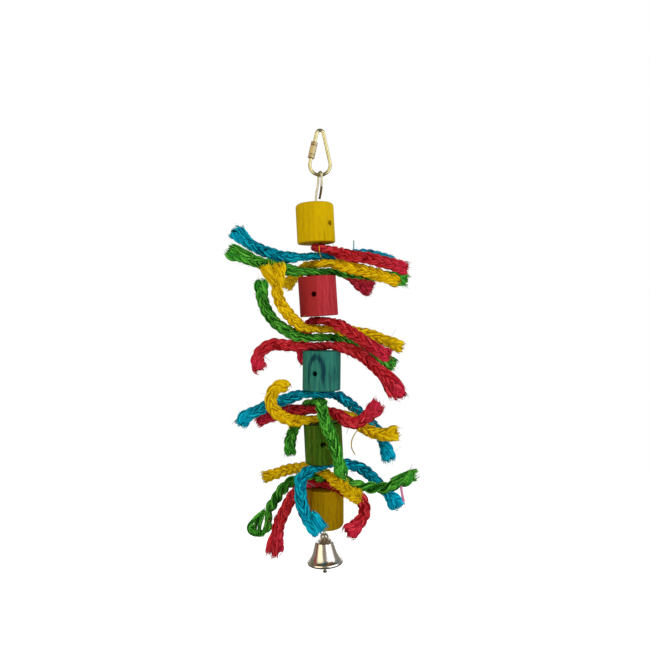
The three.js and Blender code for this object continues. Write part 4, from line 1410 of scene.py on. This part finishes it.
# %% Plated metal
CLOUD_GRAIN = (260, 260, 260)
SPECK_GRAIN = (2400, 2400, 2400)
PLATING_PLACES = (0.35, 0.6)
TARNISH_AND_REFLECTION_RANGE = (0.2, 0.8)
PLATING_BUMP = {"Strength": 0.03, "Distance": 0.00002}
TARNISH_AND_REFLECTION = (92, 72, 34)
PLATINGS = {
    "link_zinc": dict(bright=(238, 234, 184), dull=(218, 212, 160), smooth=0.12, rough=0.22),
    "sleeve_zinc": dict(bright=(186, 170, 134), dull=(158, 142, 108), smooth=0.24, rough=0.4),
    "wire_plating": dict(bright=(228, 226, 202), dull=(206, 204, 178), smooth=0.16, rough=0.3),
    "bell_plating": dict(bright=(242, 240, 238), dull=(226, 222, 218), smooth=0.17, rough=0.25),
    "tab_plating": dict(bright=(222, 216, 206), dull=(190, 184, 174), smooth=0.4, rough=0.55),
    "clapper_plating": dict(bright=(150, 150, 130), dull=(116, 116, 98), smooth=0.2, rough=0.38),
}


def plated_metal(name, bright, dull, smooth, rough):
    """A plating that clouds from bright to dull and from smooth to rough, with brown points that are
    tarnish and painted reflection.
    """
    material = bpy.data.materials.new(name)
    tree = new_tree(material)
    place = add_node(tree, "ShaderNodeTexCoord").outputs["Object"]
    clouds = stretched_noise(tree, place, CLOUD_GRAIN)
    specks = stretched_noise(tree, place, SPECK_GRAIN, detail=2)
    colour = colour_ramp(tree, clouds, PLATING_PLACES, (screen_colour(*dull), screen_colour(*bright)))
    # Brown where a piece is tarnished and where a dark reflection is painted.
    marks = map_range(tree, stored(tree, "tarnish"), TARNISH_AND_REFLECTION_RANGE, FULL)
    tarnished_and_reflecting = mix_colours(tree, marks, colour, screen_colour(*TARNISH_AND_REFLECTION))
    shine = map_range(tree, clouds, MID_NOISE, (rough, smooth))
    bump = add_node(tree, "ShaderNodeBump", Height=specks, **PLATING_BUMP)
    shader = add_node(tree, "ShaderNodeBsdfPrincipled", Base_Color=tarnished_and_reflecting, Metallic=1, Roughness=shine,
                      Normal=bump.outputs[0])
    add_node(tree, "ShaderNodeOutputMaterial", Surface=shader.outputs[0])
    return material


METALS = {name: plated_metal(name, **look) for name, look in PLATINGS.items()}
print("metals:", list(METALS))

# %% [markdown]
# ## The quick link
# The link is one round rod bent into a pear. A ring of points is pulled down the short leg, swung
# round the low bend with Spin, pulled up the long leg, swung round the top bend, and pulled down to
# the opening. Spin keeps the ring square to its way, which a hand would do less evenly.

# %% Rings that are pulled and swung
def start_ring(name, centre, way, radius, sides):
    """A ring of points in edit mode, facing a way."""
    bpy.ops.mesh.primitive_circle_add(
        vertices=sides, radius=radius, location=centre, rotation=way.to_track_quat("Z", "Y").to_euler())
    piece = bpy.context.object
    piece.name = name
    bpy.ops.object.transform_apply(location=True, rotation=True, scale=True)
    begin_edit(piece)
    bpy.ops.mesh.select_all(action="SELECT")
    return piece


def pull_ring(offset):
    bpy.ops.mesh.extrude_edges_move(TRANSFORM_OT_translate={"value": tuple(offset)})


def swing_ring(centre, axis, angle, steps):
    bpy.ops.mesh.spin(steps=steps, angle=angle, center=tuple(centre), axis=tuple(axis))


def close_tube():
    """Puts a face on each open end and leaves edit mode."""
    bpy.ops.mesh.select_all(action="SELECT")
    bpy.ops.mesh.remove_doubles(threshold=MERGE_DISTANCE)
    bpy.ops.mesh.fill_holes(sides=0)
    end_edit()


def dress(piece, node, body, metal, angle=40):
    """Smooths a finished metal piece, paints it and puts it in its solid's place."""
    settle(piece, angle)
    if "tarnish" not in piece.data.attributes:
        keep_at_points(piece, "tarnish", np.zeros(len(piece.data.vertices)))
    piece.data.materials.clear()
    piece.data.materials.append(METALS[metal])
    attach(piece, body)
    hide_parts(node)
    print(piece.name, "faces", len(piece.data.polygons))


print("helpers for rings are ready")

# %% The link's rod
# The link hangs by the underside of its top bend, and LINK_LOW is the rod's middle at its foot.
LINK_ROD = 0.0024
LINK_HEIGHT = 0.0338
LINK_WIDTH = 0.0167
LINK_TOP_WIDTH = 0.0072
LINK_OPENING = 0.0043
LINK_SIDES = 28
LOW_BEND_STEPS = 44
TOP_BEND_STEPS = 26
SLEEVE_LENGTH = 0.0116
SLEEVE_FROM_TOP = 0.0066
SLEEVE_GRIP = 0.0015
TOP_RADIUS = (LINK_TOP_WIDTH - LINK_ROD) / 2
LOW_RADIUS = (LINK_WIDTH - LINK_ROD) / 2
LINK_LOW = LINK_ROD * 1.5 - LINK_HEIGHT

top_centre = Vector((0, 0, LINK_ROD / 2 - TOP_RADIUS))
low_centre = Vector((0, 0, LINK_LOW + LOW_RADIUS))
leg_slope = math.asin((LOW_RADIUS - TOP_RADIUS) / (top_centre.z - low_centre.z))
leg_down = Vector((-math.sin(leg_slope), 0, -math.cos(leg_slope)))
leg_out = Vector((-math.cos(leg_slope), 0, math.sin(leg_slope)))
leg_length = (top_centre.z - low_centre.z) * math.cos(leg_slope)
leg_top = top_centre + leg_out * TOP_RADIUS
lower_end = SLEEVE_FROM_TOP + SLEEVE_LENGTH - SLEEVE_GRIP
right_leg_up = Vector((leg_down.x, 0, -leg_down.z))

link = start_ring("bent_quick_link", leg_top + leg_down * lower_end, leg_down, LINK_ROD / 2, LINK_SIDES)
pull_ring(leg_down * (leg_length - lower_end))
swing_ring(low_centre, (0, 1, 0), math.pi + 2 * leg_slope, LOW_BEND_STEPS)
pull_ring(right_leg_up * leg_length)
swing_ring(top_centre, (0, 1, 0), math.pi - 2 * leg_slope, TOP_BEND_STEPS)
pull_ring(leg_down * (lower_end - LINK_OPENING))
close_tube()
dress(link, "quick_link_body", "link", "link_zinc")

# %% [markdown]
# ## The screw sleeve
# The sleeve is a long hexagonal nut with turned-down ends. A six-sided cylinder is bored like the
# blocks, and a lathed barrel with two shallow grooves trims its corners with a Boolean, which leaves
# the curved edges of a real nut.

# %% A lathe
def lathe(name, outline, sides):
    """A round piece about Z: one ring is pulled from height to height and resized, left in edit mode."""
    radius, height = outline[0]
    piece = start_ring(name, Vector((0, 0, height)), Vector((0, 0, 1)), radius, sides)
    for next_radius, next_height in outline[1:]:
        pull_ring((0, 0, next_height - height))
        grow = next_radius / radius
        bpy.ops.transform.resize(value=(grow, grow, 1), center_override=(0, 0, 0))
        radius, height = next_radius, next_height
    return piece


print("the lathe is ready")

# %% The sleeve
FIT_GAP = 0.0003
SLEEVE_FLATS = 0.0046
SLEEVE_BORE = LINK_ROD / 2 + FIT_GAP
SLEEVE_EDGE = 0.00022
SLEEVE_EDGE_SEGMENTS = 3
SLEEVE_END_INSET = 0.0001
SLEEVE_SMOOTHING = 25
GROOVE_FROM_END = 0.0024
GROOVE_RADIUS = 0.00212
GROOVE_STEP = 0.0003
BARREL_SIDES = 64
corner = SLEEVE_FLATS / math.sqrt(3)
half = SLEEVE_LENGTH / 2
chamfer = corner - SLEEVE_FLATS / 2

bpy.ops.mesh.primitive_cylinder_add(vertices=6, radius=corner, depth=SLEEVE_LENGTH)
sleeve = bpy.context.object
sleeve.name = "hex_sleeve"


def long_corner(edge):
    """True for the six outer edges that run from end to end."""
    first, second = (sleeve.data.vertices[i].co for i in edge.vertices)
    return abs(first.xy.length - corner) < SAME_PLACE and abs(first.z - second.z) > half


begin_edit(sleeve)
pick(sleeve, level_face, "polygons")
bpy.ops.mesh.inset(thickness=SLEEVE_FLATS / 2 - SLEEVE_BORE, use_individual=True)
bpy.ops.mesh.bridge_edge_loops()
pick(sleeve, long_corner, "edges")
bpy.ops.mesh.bevel(offset=SLEEVE_EDGE, segments=SLEEVE_EDGE_SEGMENTS, affect="EDGES")
end_edit()
groove = GROOVE_FROM_END - half
low_half = [
    (SLEEVE_FLATS / 2 - SLEEVE_END_INSET, -half), (corner, chamfer - half),
    (corner, groove - GROOVE_STEP), (GROOVE_RADIUS, groove),
    (GROOVE_RADIUS, groove + GROOVE_STEP), (corner, groove + 2 * GROOVE_STEP)]
barrel = lathe("barrel", low_half + [(r, -z) for r, z in reversed(low_half)], BARREL_SIDES)
close_tube()
cut_with(sleeve, "INTERSECT", barrel)
sleeve.location = leg_top + leg_down * (SLEEVE_FROM_TOP + half)
sleeve.rotation_euler = (0, leg_slope, 0)
dress(sleeve, "quick_link_sleeve", "sleeve", "sleeve_zinc", SLEEVE_SMOOTHING)

# %% [markdown]
# ## The stem wire
# One wire hooks over the link, runs down through all the blocks and ropes, and is curled into an eye
# below them. Its bends are free, so a curve with a round bevel is the easiest way to lay it, and it
# is turned into a mesh once it is right.

# %% Arcs and bends
def arc(centre, across, up, radius, first, last, count):
    """Points on a circle's arc, in the plane of two directions."""
    angle = np.linspace(first, last, count)[:, None]
    return np.array(centre) + radius * (np.cos(angle) * np.array(across) + np.sin(angle) * np.array(up))


def bow(start, control, end, count):
    """A smooth run from one point to another that is drawn towards a third."""
    t = np.linspace(0, 1, count)[:, None]
    return (1 - t) ** 2 * np.array(start) + 2 * t * (1 - t) * np.array(control) + t**2 * np.array(end)


def bend(start, leaving, end, arriving, pull, count):
    """A smooth run that leaves one point along a direction and arrives at another along a second one."""
    start, leaving, end, arriving = (np.array(v, float) for v in (start, leaving, end, arriving))
    t = np.linspace(0, 1, count)[:, None]
    first, second = start + leaving * pull, end - arriving * pull
    return (1 - t) ** 3 * start + 3 * t * (1 - t) ** 2 * first + 3 * t**2 * (1 - t) * second + t**3 * end


def draw_line(curve, points):
    """Adds a line through points, which have two or three numbers each, to a curve."""
    spare = np.zeros((len(points), 3 - points.shape[1]))
    run = curve.splines.new("POLY")
    run.points.add(len(points) - 1)
    run.points.foreach_set("co", np.hstack([points, spare, np.ones((len(points), 1))]).ravel())
    return run


print("helpers for wire are ready")

# %% The stem wire's line
WIRE = 0.0016
HOOK_TURN = math.radians(27)
HOOK_TAIL = 0.0166
TAIL_END = (-0.0015, 0.002)
TAIL_BOW = (0.0006, -0.0004)
HANG_DROP = 0.0202
STEM_SET = 0.0029
STEM_LEAN = math.radians(1.48)
EYE_RADIUS = 0.0031
EYE_START = math.radians(50)
EYE_END = math.radians(-216)
HOOK_POINTS = 24
BEND_POINTS = 20
EYE_POINTS = 48

hook_radius = LINK_ROD / 2 / math.cos(HOOK_TURN) + WIRE / 2 + FIT_GAP
hook_centre = (0, 0, LINK_LOW + LINK_ROD / 2 + FIT_GAP + WIRE / 2 - hook_radius)
hook_front = (math.sin(HOOK_TURN), -math.cos(HOOK_TURN), 0)
hook = arc(hook_centre, hook_front, (0, 0, 1), hook_radius, 0, math.pi, HOOK_POINTS)
tail_end = hook[0] + (*TAIL_END, -HOOK_TAIL)
tail = bow(tail_end, hook[0] + (*TAIL_BOW, -HOOK_TAIL / 2), hook[0], HOOK_POINTS)
stem_down = np.array((math.sin(STEM_LEAN), 0, -math.cos(STEM_LEAN)))
stem_top = np.array((-STEM_SET, 0, LINK_LOW - HANG_DROP))
shank = bend(hook[-1], (0, 0, -1), stem_top, stem_down, HANG_DROP / 2, BEND_POINTS)
hinge = np.array(joint_place["bell_swing"])
eye_centre = hinge - stem_down * EYE_RADIUS
eye = arc(eye_centre, (0, 1, 0), -stem_down, EYE_RADIUS, EYE_START, EYE_END, EYE_POINTS)
eye_way = np.array((0, math.sin(EYE_START), 0)) + stem_down * math.cos(EYE_START)
neck_top = eye_centre - stem_down * (EYE_RADIUS + 2 * WIRE)
neck = bend(neck_top, stem_down, eye[0], eye_way, WIRE, BEND_POINTS)
wire_line = np.vstack([tail[:-1], hook[:-1], shank, neck[:-1], eye])
print("the wire is", round(distance_along(wire_line)[-1], 3), "long")

# %% The stem wire
WIRE_ROUNDNESS = 6
TAIL_NEAR = WIRE * 0.6
TARNISH_AND_REFLECTION_LENGTH = 0.0085
TARNISH_AND_REFLECTION_FADE = 0.001

bpy.ops.curve.primitive_nurbs_path_add()
wire = bpy.context.object
wire.name = "bent_stem_wire"
wire.data.splines.clear()
draw_line(wire.data, wire_line)
wire.data.bevel_depth = WIRE / 2
wire.data.bevel_resolution = WIRE_ROUNDNESS
wire.data.use_fill_caps = True
bpy.ops.object.convert(target="MESH")
begin_edit(wire)
end_edit()
wire_points = np.array([v.co for v in wire.data.vertices])
from_tip = np.linalg.norm(wire_points - tail_end, axis=1)
from_tail = np.linalg.norm(wire_points[:, None] - tail[None], axis=2).min(axis=1)
# Painted brown near the tail's tip: tarnish, and a painted dark reflection.
brown = 1 - ease(from_tip, TARNISH_AND_REFLECTION_LENGTH, TARNISH_AND_REFLECTION_LENGTH + TARNISH_AND_REFLECTION_FADE)
keep_at_points(wire, "tarnish", np.where(from_tail < TAIL_NEAR, brown, 0))
dress(wire, "stem_wire", "stem", "wire_plating")

# %% [markdown]
# ## The bell
# The bell is pressed from thin sheet: a rounded crown, a waist that flares more and more, and a
# rolled lip. Its outline is walked once down the outside, round the lip and up the inside, and a
# lathe of ninety-six sides keeps its mirror images smooth.

# %% The bell's outline
BELL_MOUTH = 0.0254
BELL_SHOULDER = 0.0135
BELL_HEIGHT = 0.0158
BELL_WALL = 0.0008
CROWN_ROUND = 0.002
CROWN_HOLE = 0.0017
FLARE_STRAIGHT = 0.64
FLARE_POWER = 5
LIP_RADIUS = 0.0014
LIP_START = 1.15
LIP_END = -3.5
FLANK_END = 0.00295
FLANK_INSET = 0.00115
FLANK_RADIUS = BELL_MOUTH / 2 - FLANK_INSET
CROWN_POINTS = 9
FLANK_POINTS = 28
LIP_POINTS = 28


def bell_radius(height):
    """The bell's outer radius at a height above its lip."""
    share = (BELL_HEIGHT - CROWN_ROUND - height) / (BELL_HEIGHT - CROWN_ROUND - FLANK_END)
    flare = FLARE_STRAIGHT * share + (1 - FLARE_STRAIGHT) * share**FLARE_POWER
    return BELL_SHOULDER / 2 + (FLANK_RADIUS - BELL_SHOULDER / 2) * flare


def bell_face(inset):
    """One face of the bell from its crown hole down to just above its lip."""
    points = [(CROWN_HOLE, BELL_HEIGHT - inset)]
    for turn in np.linspace(math.pi / 2, 0, CROWN_POINTS):
        radius = BELL_SHOULDER / 2 - CROWN_ROUND + (CROWN_ROUND - inset) * math.cos(turn)
        points.append((radius, BELL_HEIGHT - CROWN_ROUND + (CROWN_ROUND - inset) * math.sin(turn)))
    for height in np.linspace(BELL_HEIGHT - CROWN_ROUND, FLANK_END, FLANK_POINTS)[1:]:
        points.append((bell_radius(height) - inset, height))
    return points


lip_middle = (BELL_MOUTH / 2 - LIP_RADIUS, LIP_RADIUS)
lip = arc(lip_middle, (1, 0), (0, 1), LIP_RADIUS, LIP_START, LIP_END, LIP_POINTS).tolist()
bell_outline = bell_face(0) + lip + bell_face(BELL_WALL)[::-1]
print("points on the bell's outline:", len(bell_outline))

# %% The bell
BELL_SIDES = 96
BELL_TILT = math.radians(3.3)
BELL_ASIDE = -0.0005
TAB_HOLE = 0.0028
TAB_DROP = 0.0028
HOLE_DROP = TAB_HOLE / 2 - WIRE / 2 - FIT_GAP
CROWN_HEIGHT = -HOLE_DROP - TAB_DROP

bell = lathe("spun_bell", bell_outline + bell_outline[:1], BELL_SIDES)
end_edit()
bell.rotation_euler = (0, -BELL_TILT, 0)
bell_axis = Vector((-math.sin(BELL_TILT), 0, math.cos(BELL_TILT)))
bell_right = Vector((math.cos(BELL_TILT), 0, math.sin(BELL_TILT)))
bell.location = Vector(hinge) + bell_axis * (CROWN_HEIGHT - BELL_HEIGHT) + bell_right * BELL_ASIDE
dress(bell, "bell_shell", "bell", "bell_plating")

# %% [markdown]
# ## The bell's tab
# The tab is a small stamped plate with an eye for the wire, a foot on the crown, and below the crown
# a second eye for the clapper. Its outline with two holes is a flat curve that is thickened, with a
# little bevel for the stamped edge, and the foot, which rises in a hollow slope, is lathed.

# %% The tab's outline
TAB_RIM = 0.0016
TAB_SHOULDER = math.radians(25)
TAB_FOOT_WIDTH = 0.0084
NECK_WIDTH = 0.0022
INNER_HOLE = 0.0024
INNER_RIM = 0.0011
INNER_HEIGHT = CROWN_HEIGHT - BELL_WALL - INNER_HOLE / 2 - INNER_RIM
TAB_ARC_POINTS = 36
TAB_FLANK_POINTS = 12
INNER_ARC_POINTS = 32
HOLE_LAST_POINT = 0.17


def tab_outline():
    """Points of the tab's outer edge, from its right shoulder over the top and round."""
    rim = TAB_HOLE / 2 + TAB_RIM
    foot = CROWN_HEIGHT + FIT_GAP
    low = -HOLE_DROP - rim * math.sin(TAB_SHOULDER)
    side = rim * math.cos(TAB_SHOULDER)
    inner = INNER_HOLE / 2 + INNER_RIM
    turn = math.acos(NECK_WIDTH / 2 / inner)
    top = arc((0, -HOLE_DROP), (1, 0), (0, 1), rim, -TAB_SHOULDER, math.pi + TAB_SHOULDER, TAB_ARC_POINTS)
    flank = bow((-side, low), (-side, foot), (-TAB_FOOT_WIDTH / 2, foot), TAB_FLANK_POINTS)
    eye_edge = arc(
        (0, INNER_HEIGHT), (1, 0), (0, 1), inner, math.pi - turn, 2 * math.pi + turn, INNER_ARC_POINTS)
    left_neck = [(-NECK_WIDTH / 2, foot)]
    right_neck = [(NECK_WIDTH / 2, foot)]
    return np.vstack([top, flank[1:], left_neck, eye_edge, right_neck, (flank * (-1, 1))[:0:-1]])


def tab_hole(height, width):
    """Points round a hole, against the way of the outer edge, to one step before the first."""
    return arc((0, height), (1, 0), (0, 1), width / 2, 2 * math.pi, HOLE_LAST_POINT, TAB_ARC_POINTS)


tab_edges = [tab_outline(), tab_hole(-HOLE_DROP, TAB_HOLE), tab_hole(INNER_HEIGHT, INNER_HOLE)]
print("points on the tab's edges:", [len(edge) for edge in tab_edges])

# %% The bell's tab
TAB_THICKNESS = 0.001
TAB_BEVEL = 0.00018
TAB_BEVEL_STEPS = 2
TAB_SMOOTHING = 30

bpy.ops.curve.primitive_bezier_circle_add()
tab = bpy.context.object
tab.name = "stamped_tab"
tab.data.splines.clear()
tab.data.dimensions = "2D"
tab.data.fill_mode = "BOTH"
for edge in tab_edges:
    draw_line(tab.data, edge).use_cyclic_u = True
tab.data.extrude = TAB_THICKNESS / 2 - TAB_BEVEL
tab.data.bevel_depth = TAB_BEVEL
tab.data.bevel_resolution = TAB_BEVEL_STEPS
tab.data.offset = -TAB_BEVEL
bpy.ops.object.convert(target="MESH")
tab.rotation_euler = (math.pi / 2, 0, 0)
settle(tab, TAB_SMOOTHING)
print(tab.name, "faces", len(tab.data.polygons))

# %% The tab's foot
FOOT_RADIUS = 0.0047
FOOT_EDGE = 0.0002
FOOT_EDGE_INSET = 0.0001
FOOT_RISE = 0.0015
FOOT_HORN = 0.0006
FOOT_HORN_POWER = 6
FOOT_BORE = CROWN_HOLE / 2
FOOT_POINTS = 14
FOOT_SIDES = 64
HANGER_SMOOTHING = 50


def foot_slope(share):
    """A point of the foot's hollow slope, from its rim to its bore."""
    radius = FOOT_RADIUS * (1 - share) + FOOT_BORE * share
    return radius, FOOT_EDGE + FOOT_RISE * share + FOOT_HORN * share**FOOT_HORN_POWER


slope = [foot_slope(share) for share in np.linspace(0, 1, FOOT_POINTS)]
foot_outline = [(FOOT_BORE, 0), (FOOT_RADIUS - FOOT_EDGE_INSET, 0), *slope, (FOOT_BORE, 0)]
washer = lathe("foot_washer", foot_outline, FOOT_SIDES)
end_edit()
washer.location = (0, 0, CROWN_HEIGHT + FIT_GAP)
settle(washer, TAB_SMOOTHING)
join_to(tab, washer)
begin_edit(tab)
end_edit()
tab.rotation_euler = (0, -BELL_TILT, 0)
tab.location = Vector(hinge)
dress(tab, "bell_hanger", "bell", "tab_plating", HANGER_SMOOTHING)

# %% [markdown]
# ## The clapper
# The clapper hangs from the inner eye by a ring bent from its own rod, and only its flattened head
# shows below the lip. The ring is a small circle swung most of a turn, and the rod and head are
# lathed.

# %% The clapper
CLAPPER_WIRE = 0.0009
CLAPPER_RING = 0.0015
CLAPPER_TURN = math.radians(324)
CLAPPER_LENGTH = 0.0194
CLAPPER_ROD = 0.0011
CLAPPER_NECK = 0.0018
CLAPPER_HEAD = 0.0031
HEAD_HEIGHT = 0.002
HEAD_TAPER = 0.003
HEAD_FLAT = 0.12
HEAD_POINTS = 18
RING_SIDES = 20
RING_STEPS = 40
ROD_SIDES = 40

ring_top = CLAPPER_WIRE / 2 + FIT_GAP - INNER_HOLE / 2
ring_low = Vector((0, 0, ring_top - 2 * CLAPPER_RING))
ring_centre = Vector((0, 0, ring_top - CLAPPER_RING))
rod_top = ring_low.z + CLAPPER_WIRE / 2
clapper = start_ring("clapper_ring", ring_low, Vector((0, 1, 0)), CLAPPER_WIRE / 2, RING_SIDES)
swing_ring(ring_centre, (1, 0, 0), CLAPPER_TURN, RING_STEPS)
close_tube()
head_end = math.acos(CLAPPER_NECK / CLAPPER_HEAD)
head = [(CLAPPER_HEAD / 2 * math.cos(turn), HEAD_HEIGHT / 2 * (1 + math.sin(turn)) - CLAPPER_LENGTH)
        for turn in np.linspace(-math.pi / 2 + HEAD_FLAT, head_end, HEAD_POINTS)]
shaft = [
    (CLAPPER_ROD / 2, HEAD_HEIGHT + HEAD_TAPER - CLAPPER_LENGTH),
    (CLAPPER_ROD / 2, rod_top - CLAPPER_WIRE), (CLAPPER_ROD / 4, rod_top - CLAPPER_WIRE / 4)]
rod = lathe("clapper_rod", head + shaft, ROD_SIDES)
close_tube()
join_to(clapper, rod)
clapper.name = "bent_clapper"
clapper.location = joint_place["clapper_swing"]
dress(clapper, "clapper", "clapper_body", "clapper_plating")
